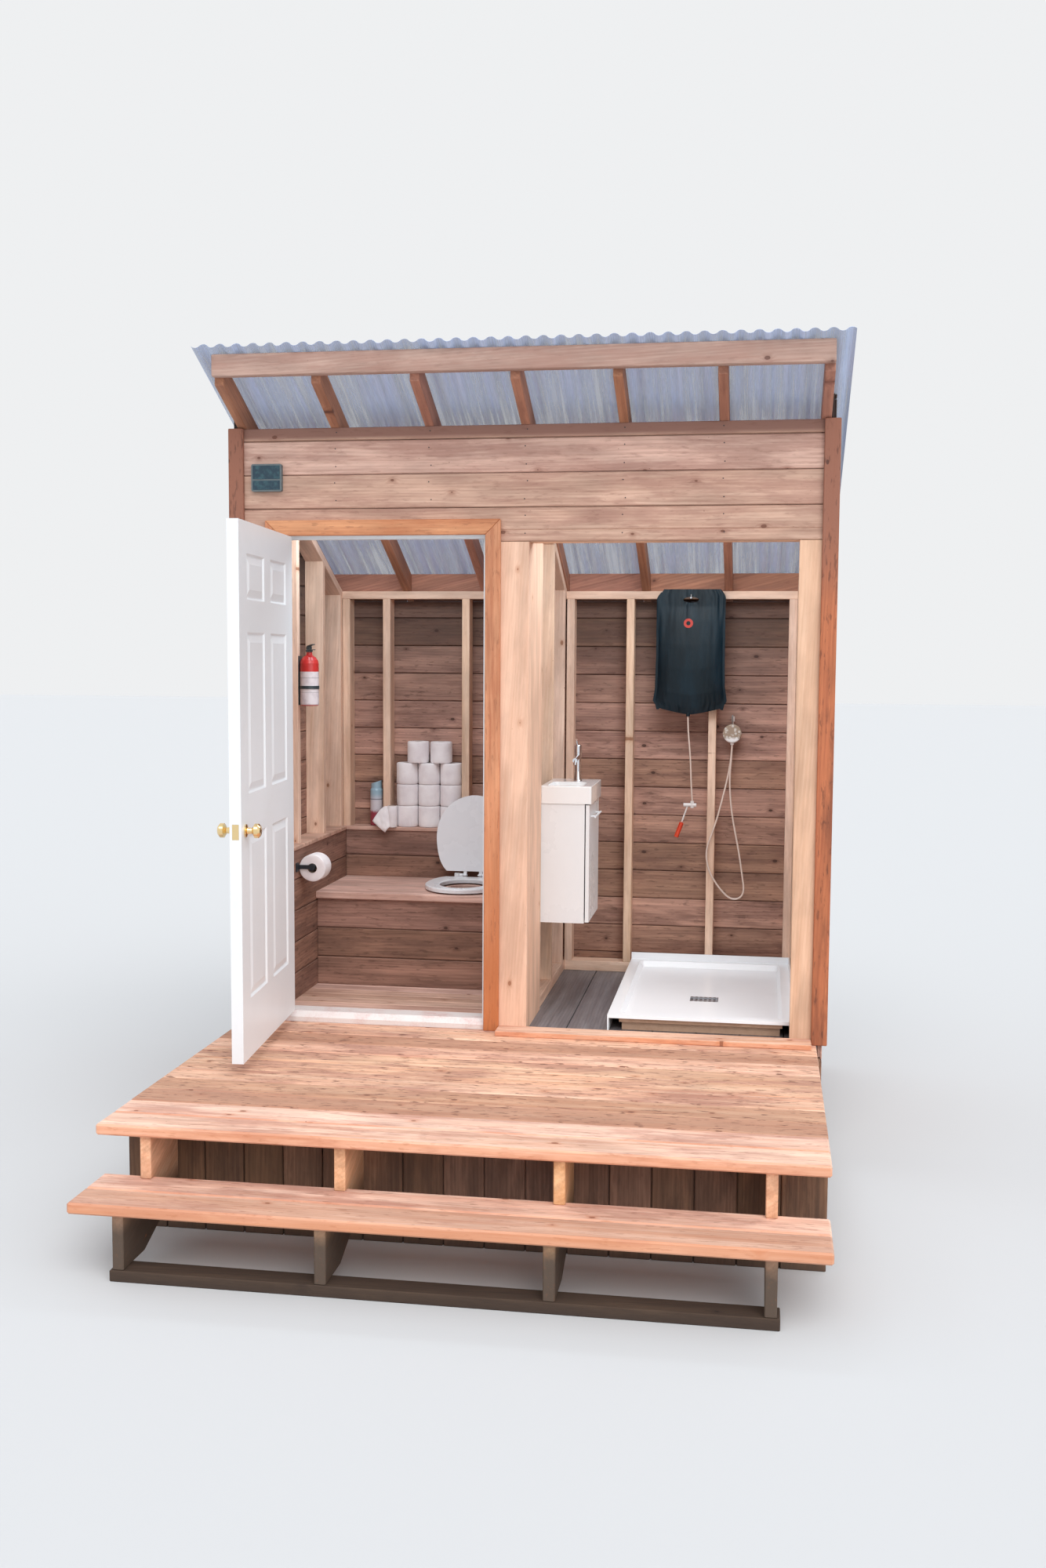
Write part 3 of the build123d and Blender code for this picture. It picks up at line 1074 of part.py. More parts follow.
def small_things():
    """Spray can on the ledge and the solar light over the door."""
    x, y, z = TOILET_STUD - 65, FRAME_BACK - 43, LEDGE_TOP + SEAT_GAP
    r = CAN_R
    can = turned([(0, 0), (r - 3, 0), (r, 3), (r, CAN_H), (r - 2, CAN_H + 6), (r - 5, CAN_H + 10),
                  (r - 5, CAN_H + CAN_CAP_H), (0, CAN_H + CAN_CAP_H)], x, y, z)
    slant = block(x - 2 * r, x + 2 * r, y - 2 * r, y + 2 * r, z + CAN_H + CAN_CAP_H - 10, z + 2 * CAN_H)
    can = can - slant.rotate(Axis((x, y, z + CAN_H + CAN_CAP_H - 10), (0, 1, 0)), -18)
    write("spray_can", can)
    x0, z0 = -OUTER_X + 81, rafter_under(0) - LIGHT_DROP
    x1, z1 = x0 + LIGHT_W, z0 + LIGHT_H
    edge, rise = 7.0, 2.0
    split = z0 + 0.42 * LIGHT_H
    light = block(x0, x1, -LIGHT_T, 0, z0, z1)
    light = fillet(light.edges().filter_by(Axis.Y), 8)
    for low, high in ((z0 + edge, split - edge / 2), (split + edge / 2, z1 - edge)):
        light = light + block(x0 + edge, x1 - edge, -LIGHT_T - rise, -LIGHT_T, low, high)
    write("solar_light", light)


if __name__ == "__main__":
    os.makedirs("parts", exist_ok=True)
    ground_frame()
    floors()
    deck()
    skirting()
    wall_studs()
    front_frame()
    partition()
    plates()
    cladding()
    corner_trims()
    door_frame()
    door()
    roof()
    toilet_room()
    toilet()
    basin_unit()
    shower_tray()
    bag_shower()
    shower_head()
    extinguisher()
    paper()
    small_things()
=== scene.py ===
"""Looks of the two-room timber outhouse: boards, timber with its grain, finishes, soft pieces, light.

Metres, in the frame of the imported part: X along the front, Y into the building, Z up from the
ground.  Every plank carries its own grain coordinates, so one wood shader serves them all.
"""
import random

import bmesh
import bpy
from math import cos, pi, radians, sin, tan
from mathutils import Matrix, Vector, noise
from mathutils.geometry import interpolate_bezier


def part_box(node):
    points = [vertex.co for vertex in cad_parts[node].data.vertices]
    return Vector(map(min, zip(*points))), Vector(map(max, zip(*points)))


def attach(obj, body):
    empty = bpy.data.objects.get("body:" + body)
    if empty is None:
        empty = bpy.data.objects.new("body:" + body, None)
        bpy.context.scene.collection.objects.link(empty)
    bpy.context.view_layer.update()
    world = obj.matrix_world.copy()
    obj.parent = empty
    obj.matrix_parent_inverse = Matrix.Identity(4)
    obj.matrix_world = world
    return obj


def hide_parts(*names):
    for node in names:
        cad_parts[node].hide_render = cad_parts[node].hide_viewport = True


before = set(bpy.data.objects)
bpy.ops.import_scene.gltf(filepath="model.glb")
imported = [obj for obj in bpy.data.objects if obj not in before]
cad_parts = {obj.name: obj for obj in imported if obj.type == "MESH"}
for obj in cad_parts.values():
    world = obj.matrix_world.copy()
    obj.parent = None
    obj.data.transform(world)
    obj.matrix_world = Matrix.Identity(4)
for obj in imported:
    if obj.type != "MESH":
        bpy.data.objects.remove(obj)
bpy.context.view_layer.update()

# Axes by number, and their directions
X, Y, Z = range(3)
RIGHT, INWARD, UP = AXES = ((1, 0, 0), (0, 1, 0), (0, 0, 1))

# Driving places, taken over from the part
DECK_TOP = 0.450
BOARD_T = 0.019
HALF_W = 1.219
SLOPE = tan(radians(26.0))
RAFTER_UNDER_0 = 2.962
STUD_LINES = (-1.200, -0.797, -0.397, 0.003, 0.403, 0.803, 1.200)

# Courses of boards: which of an outline's two axes they go up, their start, pitch and gaps
COURSE = 0.1396
COURSE_TOP = 2.9078
WALL_COURSES = (1, COURSE_TOP, COURSE)
ROOM_COURSES = (1, DECK_TOP + 0.130, 0.143)
RISER_COURSES = (1, DECK_TOP - 0.004, 0.1395)
FLOOR_COURSES = (1, 0.012, 0.089)
PLANK_COURSES = (0, 0.176, 0.182)
DECK_PITCH = 0.146
DECK_GAP = 0.006
GROOVE = 0.004
LAP = 0.009
FRONT_LAYER = 0.6
LEAST_STRIP = 0.008
FIT = 0.001
BACK_GAP = 0.0004
CORNER_GAP = 0.0003

# Upright boards below the floor, and the fillers between the rafters at the back
SKIRT_HALF_W = 1.214
SKIRT_FRONT_TOP = 0.412
SKIRT_TOP = 0.2897
SKIRT_PITCH = 0.1425
SKIRT_START = 0.065
SKIRT_EASE = 0.0025
FILLER_GAP = 0.0004
FILLER_H = 0.026
FILLER_T = 0.011

# Nails on the front: their rows in courses, margins, and the profile of a head
NAIL_ROWS = [course + share for course in range(-4, 2) for share in (0.24, 0.76)]
NAIL_LEFT = -0.05
NAIL_OVER_DOOR = 0.08
NAIL_MARGIN = 0.02
NAIL_WANDER = 0.006
NAIL_HEAD = ((0.0026, -0.0004), (0.0026, 0.0010), (0.0018, 0.0014), (0.0002, 0.0014),
             (0.0002, -0.0004))

# Paper: core, how far a roll stays inside its solid, rounding, and dents round and up a roll
CORE_R = 0.021
ROLL_IN = 0.0008
ROLL_EDGE = 0.006
THIN_ROLL = 0.012
WORN_R = 0.04
DENTS = (1.3, 14.0)

# The worn roll's loose end: its cut size, and both long edges as seen from the roll's foot
END_TOP = ((-0.020, -0.0185, 0.106), (-0.046, -0.0200, 0.112), (-0.066, -0.0220, 0.082),
           (-0.098, -0.0260, 0.030))
END_BOTTOM = ((-0.004, -0.0275, 0.003), (-0.006, -0.0360, 0.004), (-0.016, -0.0400, -0.006),
              (-0.030, -0.0300, -0.026))
END_STEPS = 26
END_COLUMNS = 18

# Water bag: outline and fill by share of its height from the tip, grid, hand hole and neck
BAG_WIDTHS = ((0.0, 0.90), (0.04, 0.93), (0.075, 1.0), (0.11, 0.985), (0.19, 0.945), (0.4, 0.93),
              (0.7, 0.925), (0.94, 0.93), (0.965, 0.90), (1.0, 0.815))
BAG_BELLY = ((0.0, 0.10), (0.05, 0.42), (0.16, 0.92), (0.36, 1.0), (0.55, 0.8), (0.75, 0.42),
             (0.86, 0.16), (1.0, 0.08))
BAG_H = 0.606
BAG_ROWS = 96
BAG_COLUMNS = 60
HOLE_DROP = 0.051
HOLE_X = 0.038
HOLE_Z = 0.0138
NECK_R = 0.009

# Camera, as fitted to the photograph
CAMERA_PLACE = (0.9691, -6.1358, 2.0294)
CAMERA_YAW = 0.157
CAMERA_PITCH = -0.086
CAMERA_ROLL = 0.006
CAMERA_LENS = 34.53

# Stage: half its size, its colour, and the surround as a light and as it is seen
STAGE_HALF = 60.0
STAGE_COLOUR = (0.63, 0.63, 0.635, 1.0)
SKY_COLOUR = (0.90, 0.95, 1.0, 1.0)
SKY_STRENGTH = 0.90
BACKDROP = (0.86, 0.87, 0.88, 1.0)

# Soft suns: name, strength, spread, lean from overhead, turn from the front toward the right
SUNS = (("key", 1.6, 50, 40, 16), ("fill", 0.8, 70, 70, 52))

# Daylight through the clear roof, room by room: place, size and power
ROOM_LIGHTS = ((-0.60, 0.36, 2.66, 1.0, 0.5, 11.5), (0.66, 0.36, 2.66, 0.9, 0.5, 15.0))
ROOM_COLOUR = (0.80, 0.92, 1.0)
ROOM_TILT = 10

# Cord routes, the same points as the part's
TUBE_ROUTE = [
    (0.615, 1.224, 1.733), (0.617, 1.225, 1.660), (0.625, 1.226, 1.586), (0.631, 1.227, 1.510),
    (0.634, 1.2275, 1.435), (0.638, 1.227, 1.368), (0.642, 1.226, 1.320),
]
HOSE_ROUTE = [
    (0.829, 1.300, 1.593), (0.826, 1.297, 1.525), (0.820, 1.286, 1.435), (0.824, 1.276, 1.345),
    (0.834, 1.268, 1.260), (0.849, 1.262, 1.180), (0.866, 1.257, 1.100), (0.880, 1.253, 1.020),
    (0.891, 1.249, 0.948), (0.900, 1.247, 0.890), (0.892, 1.245, 0.855), (0.866, 1.244, 0.838),
    (0.832, 1.244, 0.841), (0.800, 1.244, 0.868), (0.765, 1.243, 0.911), (0.733, 1.243, 0.964),
    (0.714, 1.243, 1.028), (0.715, 1.243, 1.090), (0.740, 1.244, 1.160), (0.764, 1.250, 1.235),
    (0.785, 1.270, 1.322), (0.806, 1.300, 1.410), (0.821, 1.318, 1.495), (0.828, 1.328, 1.580),
    (0.831, 1.333, 1.650), (0.8315, 1.334, 1.706),
]

# Noise in the wood: stretch along and across the grain, scale, detail and roughness
WOOD_LAYERS = {
    "ragged": (60.0, 90.0, 1.0, 2.0, 0.55),
    "drift": (0.5, 3.4, 1.0, 2.0, 0.55),
    "streak": (1.3, 30.0, 1.0, 4.0, 0.62),
    "fine": (6.0, 300.0, 1.0, 2.0, 0.55),
    "broad": (3.0, 11.0, 1.0, 4.0, 0.55),
    "cloud": (1.7, 8.0, 1.0, 5.0, 0.62),
    "speck": (4.0, 26.0, 1.4, 4.0, 0.65),
    "scuff": (19.0, 85.0, 1.0, 3.0, 0.55),
}
GROWTH_LINES = 430.0
EDGE_SHARE = 0.42
GRAIN_SPREAD = 40
SHARP = radians(28)
SMOOTH = radians(32)

# Woods: light, dark, knots, stain, and the other arguments of wood
WOODS = {
    # cedar_boards: its foot darkens the top course under the rafters, a painted shadow of the eaves.
    "cedar_boards": ((218, 181, 160), (178, 138, 119), (104, 60, 44), (160, 114, 100), dict(
        spread=0.11, knots=0.75, pins=0.4, stain=0.5, flecks=0.2, foot=(2.925, 2.9, (142, 102, 88)))),
    # outer_boards: its foot darkens the walls from 1.2 m up to 2.4 m, painted shade under the roof,
    # seen inside and out.
    "outer_boards": ((194, 151, 129), (142, 105, 90), (62, 38, 31), (118, 84, 72), dict(
        spread=0.22, knots=0.7, rough=0.82, stain=0.6, flecks=0.4, relief=0.5,
        foot=(2.4, 1.2, (60, 46, 41)))),
    "cedar_trim": ((213, 152, 111), (181, 115, 78), (112, 60, 40), (166, 92, 56), dict(
        spread=0.05, stain=0.4, flecks=0.3, foot=(0.4, 2.3, (188, 108, 58)))),
    "corner_wood": ((194, 116, 68), (156, 84, 46), (70, 38, 30), (120, 68, 46), dict(
        spread=0.05, knots=0.6, stain=0.7, flecks=0.5, foot=(2.5, 2.0, (148, 96, 76)))),
    "bench_wood": ((228, 190, 172), (186, 144, 126), (104, 66, 52), (160, 116, 100), dict(
        spread=0.06, stain=0.4)),
    "brown_boards": ((176, 134, 116), (128, 94, 80), (64, 40, 32), (104, 75, 64), dict(
        spread=0.2, knots=0.7, rough=0.82, stain=0.6, flecks=0.35, relief=0.5)),
    "fir_frame": ((228, 190, 161), (205, 161, 130), (150, 98, 68), (202, 152, 122), dict(
        spread=0.05, knots=0.5, pins=0.2, contrast=1.2, stain=0.15, flecks=0.05)),
    "stud_wood": ((240, 208, 184), (218, 180, 152), (146, 96, 68), (206, 160, 134), dict(
        spread=0.05, knots=0.5, pins=0.3, stain=0.25, flecks=0.1)),
    "rafter_cedar": ((190, 134, 108), (148, 98, 78), (88, 52, 40), (130, 86, 70), dict(stain=0.4)),
    "fascia_cedar": ((194, 164, 152), (162, 126, 115), (96, 62, 52), (164, 122, 108), dict(
        spread=0.04, stain=0.5)),
    "deck_cedar": ((236, 196, 166), (204, 148, 116), (104, 62, 46), (164, 112, 98), dict(
        spread=0.12, knots=0.95, pins=0.9, stain=0.62, flecks=0.8, worn=0.9)),
    "pale_cedar": ((243, 208, 186), (216, 160, 130), (140, 84, 58), (180, 124, 108), dict(
        spread=0.09, stain=0.6, flecks=0.35, worn=0.75, edge=(226, 138, 84))),
    "weathered_wood": ((116, 92, 76), (78, 60, 50), (46, 34, 28), (62, 46, 38), dict(
        spread=0.16, rough=0.9, stain=0.5, relief=0.6, foot=(0.0, 0.16, (58, 44, 36)))),
    "skirt_wood": ((150, 112, 90), (104, 76, 60), (56, 38, 30), (78, 56, 46), dict(
        spread=0.2, rough=0.88, stain=0.5, relief=0.6, foot=(0.0, 0.12, (84, 66, 54)))),
    "stringer_wood": ((240, 192, 152), (216, 158, 116), (140, 88, 60), (150, 104, 84), dict(
        stain=0.3, foot=(0.18, 0.34, (84, 68, 56)))),
    "vinyl_plank": ((126, 122, 124), (86, 82, 86), (66, 60, 62), (136, 126, 126), dict(
        spread=0.04, knots=0.05, pins=0.0, rough=0.42, relief=0.1)),
}

# Paints, plastics and metals: colour, roughness, dirt and its colour, coat, metal, scale of the dirt
PAINTS = {
    "white_paint": ((231, 234, 237), 0.36, 0.10, (196, 190, 184)),
    "white_laminate": ((222, 222, 223), 0.28, 0.05),
    "white_plastic": ((234, 232, 234), 0.28, 0.10, (190, 184, 180)),
    "white_ceramic": ((228, 226, 225), 0.14, 0.04, (150, 140, 130), 0.4),
    "brass": ((245, 216, 160), 0.17, 0.18, (178, 132, 76), 0.0, 1.0),
    "chrome": ((226, 228, 232), 0.09, 0.12, (160, 160, 164), 0.0, 1.0),
    "zinc": ((170, 172, 174), 0.38, 0.3, (120, 116, 112), 0.0, 1.0, 6.0),
    "sill_metal": ((226, 216, 212), 0.42, 0.7, (196, 128, 116), 0.0, 0.0, 2.4),
    "clear_tube": ((226, 204, 190), 0.2, 0.15, (196, 160, 144), 0.3),
    "white_fitting": ((232, 226, 222), 0.35, 0.1),
    "dark_plastic": ((36, 40, 46), 0.45, 0.2, (70, 74, 80)),
}


def rgb(red, green, blue):
    """A colour written as 0 to 255 in sRGB, as the linear colour that a shader takes."""
    def linear(part):
        part /= 255
        return part / 12.92 if part <= 0.04045 else ((part + 0.055) / 1.055) ** 2.4
    return (linear(red), linear(green), linear(blue), 1.0)


class Nodes:
    """A node tree, with short calls for its nodes."""

    def __init__(self, tree):
        self.tree = tree

    def feed(self, node, values):
        """Sets or links a node's inputs, by name with underscores for spaces, or as i0, i1."""
        for key, value in values.items():
            numbered = key[0] == "i" and key[1:].isdigit()
            socket = node.inputs[int(key[1:]) if numbered else key.replace("_", " ")]
            if isinstance(value, bpy.types.NodeSocket):
                self.tree.links.new(value, socket)
            else:
                socket.default_value = value

    def node(self, kind, settings=None, **values):
        made = self.tree.nodes.new("ShaderNode" + kind)
        for key, value in (settings or {}).items():
            setattr(made, key, value)
        self.feed(made, values)
        return made

    def math(self, operation, a, b=0.0, c=0.0):
        return self.node("Math", {"operation": operation}, i0=a, i1=b, i2=c).outputs[0]

    def times(self, a, b):
        return self.math("MULTIPLY", a, b)

    def plus(self, base, amount, factor=1.0):
        """A base, and a factor times an amount."""
        return self.math("MULTIPLY_ADD", amount, factor, base)

    def minus(self, a, b):
        return self.math("SUBTRACT", a, b)

    def off(self, place, centre):
        """How far a place is from a centre, either way."""
        return self.math("ABSOLUTE", self.minus(place, centre))

    def length(self, a, b):
        """How long a step of a one way and b across it is."""
        return self.math("SQRT", self.math("ADD", self.times(a, a), self.times(b, b)))

    def blend(self, factor, a, b, kind="MIX"):
        """Two colours mixed, each a socket or three numbers from 0 to 255 in sRGB."""
        a, b = (c if isinstance(c, bpy.types.NodeSocket) else rgb(*c) for c in (a, b))
        made = self.node("Mix", {"data_type": "RGBA", "blend_type": kind}, i0=factor, i6=a, i7=b)
        return made.outputs[2]

    def ramp(self, factor, low, high, to_low=0.0, to_high=1.0, kind="SMOOTHSTEP"):
        made = self.node("MapRange", {"interpolation_type": kind}, Value=factor, From_Min=low,
                         From_Max=high, To_Min=to_low, To_Max=to_high)
        return made.outputs[0]

    def between(self, share, first, last):
        """A value that goes from one to another as a share goes from 0 to 1."""
        return self.ramp(share, 0.0, 1.0, first, last, "LINEAR")

    def noise(self, scale, detail, rough=0.55, over=None):
        """Noise over the object's own places, or over another vector."""
        made = self.node("TexNoise", Vector=over or self.place(), Scale=scale, Detail=detail,
                         Roughness=rough)
        return made.outputs["Fac"]

    def cells(self, scale):
        return self.node("TexVoronoi", Vector=self.place(), Scale=scale).outputs["Distance"]

    def stretch(self, vector, size):
        return self.node("VectorMath", {"operation": "MULTIPLY"}, i0=vector, i1=size).outputs[0]

    def split(self, vector):
        """A vector's x, y and z."""
        return self.node("SeparateXYZ", Vector=vector).outputs

    def attribute(self, name):
        return self.node("Attribute", {"attribute_name": name}).outputs

    def place(self):
        return self.node("TexCoord").outputs["Object"]

    def at(self, axis):
        return self.split(self.place())[axis]

    def facing(self, axis):
        """How far the surface looks along an axis, from -1 to 1."""
        return self.split(self.node("NewGeometry").outputs["Normal"])[axis]


class Shader(Nodes):
    """A material around one Principled shader."""

    def __init__(self, name, **values):
        self.mat = bpy.data.materials.new(name)
        self.mat.use_nodes = True
        super().__init__(self.mat.node_tree)
        self.main = self.tree.nodes["Principled BSDF"]
        self.feed(self.main, values)

    def finish(self, colour, height, strength, distance, **values):
        """Gives the surface its colour, bump and other values, and returns the material."""
        bump = self.node("Bump", Strength=strength, Distance=distance, Height=height)
        self.feed(self.main, {"Base_Color": colour, "Normal": bump.outputs["Normal"], **values})
        return self.mat


def wood(name, light, dark, knot, stain_colour, spread=0.08, knots=0.4, pins=0.24, contrast=1.6,
         rough=0.72, stain=0.2, flecks=0.15, worn=0.0, relief=0.3, foot=None, edge=None):
    """Planed or sawn timber: fine fibres, growth lines that bend round small knots, board tints.
    spread is how far boards differ, knots and pins say how many there are, and foot gives two
    heights and the colour that the wood takes on from the second toward the first: damp and
    weathering near the ground on some woods, painted shade toward the tops of walls on others.
    edge colours the faces that look forward."""
    s = Shader(name, Roughness=rough)
    grain = s.attribute("grain")["Vector"]
    tint = s.attribute("tint")["Fac"]
    flat = s.stretch(grain, (1.0, 1.6, 0.0))

    def layer(kind):
        """One of the noises of the wood, stretched along the grain."""
        along, across, scale, detail, gain = WOOD_LAYERS[kind]
        return s.noise(scale, detail, gain, s.stretch(grain, (along, across, across)))

    ragged = s.times(layer("ragged"), 0.016)

    def spots(scale, share, least, most, soft):
        """Round spots in some cells: how far from the nearest, which cells have one, and the spot."""
        cells = s.node("TexVoronoi", {"voronoi_dimensions": "2D"}, Vector=flat, Scale=scale)
        lot = s.node("SeparateColor", Color=cells.outputs["Color"]).outputs[0]
        chosen = s.ramp(lot, 1.0 - share, 1.0 - share + 0.01)
        size = s.ramp(lot, 1.0 - share, 1.0, least * scale, most * scale, "LINEAR")
        away = cells.outputs["Distance"]
        rim = s.minus(s.plus(away, ragged, scale * 0.3), size)
        return away, chosen, s.times(s.ramp(rim, soft * scale, 0.0), chosen)

    away, chosen, core = spots(scale=3.1, share=knots, least=0.004, most=0.013, soft=0.0035)
    pin = spots(scale=8.5, share=pins, least=0.0012, most=0.0034, soft=0.0018)[2]
    swirl = s.times(s.ramp(away, 0.13, 0.015), chosen)
    split = s.split(grain)
    across = s.plus(split[1], split[2], 0.6)
    phase = s.plus(s.times(layer("drift"), 52.0), across, GROWTH_LINES)
    rings = s.plus(0.5, s.math("SINE", s.plus(phase, swirl, 7.0)), 0.5)
    streak, fine = layer("streak"), layer("fine")
    mixed = s.plus(s.times(rings, 0.07), streak, 0.71)
    mixed = s.plus(s.plus(mixed, fine, 0.30), swirl, 0.10)
    wide = 0.26 / contrast
    base = s.blend(s.ramp(mixed, 0.54 - wide, 0.54 + wide, kind="LINEAR"), light, dark)
    value = s.times(s.between(tint, 1.0 + spread, 1.0 - spread),
                    s.ramp(layer("broad"), 0.3, 0.7, 1.15, 0.85))
    toned = s.node("HueSaturation", Hue=s.between(tint, 0.494, 0.506), Color=base, Value=value,
                   Saturation=s.between(tint, 0.93, 1.07))
    halo = s.times(s.ramp(away, 0.075, 0.02), chosen)
    colour = s.blend(s.times(halo, 0.30), toned.outputs[0], dark, "MULTIPLY")
    speck = layer("speck")
    patch = s.ramp(s.plus(layer("cloud"), speck, 0.5), 0.68, 0.90)
    if worn:
        patch = s.math("MAXIMUM", patch, s.ramp(tint, 0.70, 0.95, 0.0, worn))
    colour = s.blend(s.times(patch, stain), colour, stain_colour)
    # foot blends toward a colour by height: weathering near the ground on some woods, painted shade
    # toward the tops of walls on cedar_boards and outer_boards.
    if foot:
        low, high, damp_and_shade = foot
        height = s.plus(s.at(Z), speck, 0.4 * (high - low))
        colour = s.blend(s.ramp(height, high, low), colour, damp_and_shade)
    scuff = s.times(s.ramp(layer("scuff"), 0.56, 0.66), s.ramp(speck, 0.38, 0.52))
    colour = s.blend(s.times(scuff, flecks), colour, knot)
    if edge:
        colour = s.blend(s.ramp(s.facing(Y), -0.5, -0.8, 0.0, EDGE_SHARE), colour, edge)
    for spot, strength in ((core, 0.8), (pin, 0.75)):
        colour = s.blend(s.times(spot, strength), colour, knot)
    height = s.plus(s.plus(mixed, fine, 0.5), core, -0.6)
    return s.finish(colour, height, relief, 0.0012,
                    Roughness=s.ramp(streak, 0.2, 0.8, rough + 0.08, rough - 0.1, "LINEAR"))


def painted(name, colour, rough, dirt, dirt_colour=(150, 140, 130), coat=0.0, metal=0.0, scale=1.0):
    """Paint, plastic or enamel: faint clouds of dirt, uneven gloss and a fine surface."""
    s = Shader(name, Roughness=rough, Metallic=metal, Coat_Weight=coat)
    cloud = s.noise(3.1 * scale, 5.0, 0.62)
    patch = s.ramp(s.plus(cloud, s.noise(60.0 * scale, 2.0), 0.25), 0.55, 0.95)
    shade = s.blend(s.times(patch, dirt), colour, dirt_colour)
    return s.finish(shade, s.noise(240.0 * scale, 2.0), 0.12, 0.0004,
                    Roughness=s.ramp(cloud, 0.3, 0.7, rough * 0.85, rough * 1.2, "LINEAR"))


def add_object(name, data):
    """A new object in the scene."""
    made = bpy.data.objects.new(name, data)
    bpy.context.scene.collection.objects.link(made)
    return made


def settle(made, nodes, slot):
    """Puts a piece on its body and lets it stand for CAD nodes."""
    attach(made, "root")
    if nodes:
        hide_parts(*nodes)


class Pieces:
    """Gathers closed bits of geometry into one mesh, with grain coordinates on every point."""

    def __init__(self, name):
        self.name = name
        self.rand = random.Random(name)
        self.points, self.faces, self.grain, self.tint = [], [], [], []

    def add(self, bm, along, flat, round_by, tint=None):
        """Takes in one closed bit. along is its grain's direction and flat its broad face's normal,
        both found from its shape where they aren't given."""
        bmesh.ops.recalc_face_normals(bm, faces=bm.faces)
        if along is None:
            along = max(bm.edges, key=lambda e: e.calc_length())
            along = (along.verts[1].co - along.verts[0].co).normalized()
        if flat is None:
            flat = max(bm.faces, key=lambda f: f.calc_area()).normal.copy()
        along = Vector(along)
        across = Vector(flat).cross(along).normalized()
        flat = along.cross(across)
        if round_by:
            sharp = [e for e in bm.edges if len(e.link_faces) == 2 and e.calc_face_angle() > SHARP]
            bmesh.ops.bevel(bm, geom=sharp, offset=round_by, segments=1, affect="EDGES",
                            clamp_overlap=True)
        shift = Vector([self.rand.uniform(-GRAIN_SPREAD, GRAIN_SPREAD) for _ in AXES])
        value = self.rand.random() if tint is None else tint
        bm.verts.index_update()
        start = len(self.points)
        for v in bm.verts:
            self.points.append(tuple(v.co))
            here = Vector((v.co.dot(along), v.co.dot(across), v.co.dot(flat))) + shift
            self.grain.append(tuple(here))
            self.tint.append(value)
        for f in bm.faces:
            self.faces.append([start + v.index for v in f.verts])
        bm.free()

    def finish(self, material, *nodes, slot, smooth=False):
        """Makes the object, in place of the CAD nodes named."""
        mesh = bpy.data.meshes.new(self.name)
        mesh.from_pydata(self.points, [], self.faces)
        attribute = mesh.attributes.new("grain", "FLOAT_VECTOR", "POINT")
        attribute.data.foreach_set("vector", [c for p in self.grain for c in p])
        mesh.attributes.new("tint", "FLOAT", "POINT").data.foreach_set("value", self.tint)
        mesh.materials.append(material)
        made = add_object(self.name, mesh)
        if smooth:
            mesh.shade_smooth()
            mesh.set_sharp_from_angle(angle=SMOOTH)
        settle(made, nodes, slot)
        return made


def solids_of(node):
    """Each closed solid of a CAD node as a clean bmesh, with flat stretches as single faces."""
    whole = bmesh.new()
    whole.from_mesh(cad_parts[node].data)
    bmesh.ops.remove_doubles(whole, verts=whole.verts, dist=1e-5)
    whole.verts.index_update()
    whole.faces.index_update()
    left = set(whole.verts)
    for seed in whole.verts:
        if seed not in left:
            continue
        group, edge = {seed}, [seed]
        while edge:
            here = edge.pop()
            beside = {e.other_vert(here) for e in here.link_edges} - group
            group |= beside
            edge += beside
        left -= group
        part = bmesh.new()
        copy = {v: part.verts.new(v.co) for v in sorted(group, key=lambda v: v.index)}
        for f in sorted({f for v in group for f in v.link_faces}, key=lambda f: f.index):
            part.faces.new([copy[v] for v in f.verts])
        bmesh.ops.dissolve_limit(part, angle_limit=radians(0.6), verts=part.verts, edges=part.edges)
        yield part
    whole.free()


def extent(part):
    """The lowest and highest corners of a bmesh."""
    return [Vector([pick(v.co[axis] for v in part.verts) for axis in (X, Y, Z)]) for pick in (min, max)]


def timber(node, material, slot, round_by, along=None, flat=None, tints=()):
    """A CAD node's timbers with eased edges and grain along each one. tints gives those of the
    boards from the front one backward."""
    made = Pieces("wood_" + node)
    parts = list(solids_of(node))
    if tints:
        parts.sort(key=lambda part: extent(part)[0].y)
    for number, part in enumerate(parts):
        tint = tints[number] if number < len(tints) else None
        made.add(part, along, flat, round_by, tint)
    made.finish(material, node, slot=slot)


def turned(items):
    """The same items from the second one on, and the first one last."""
    return items[1:] + items[:1]


def cut(points, axis, limit, above):
    """The part of a polygon of (a, b) points on one side of a straight line."""
    kept = []
    for here, there in zip(points, turned(points)):
        inside = (here[axis] >= limit) == above
        if inside:
            kept.append(here)
        if inside != ((there[axis] >= limit) == above):
            share = (limit - here[axis]) / (there[axis] - here[axis])
            kept.append(tuple(h + (t - h) * share for h, t in zip(here, there)))
    return kept


def plate(points, wall, near, far):
    """A closed slab from a polygon of points on a wall, between two depths behind its face. A wall
    or floor is the axis it is square to, its place on that axis, and the way that its depth goes."""
    axis, at, way = wall
    bm = bmesh.new()
    low, high = ([bm.verts.new((*p[:axis], at + way * depth, *p[axis:])) for p in points]
                 for depth in (near, far))
    bm.faces.new(low)
    bm.faces.new(high[::-1])
    for corners in zip(turned(low), low, high, turned(high)):
        bm.faces.new(corners)
    return bm


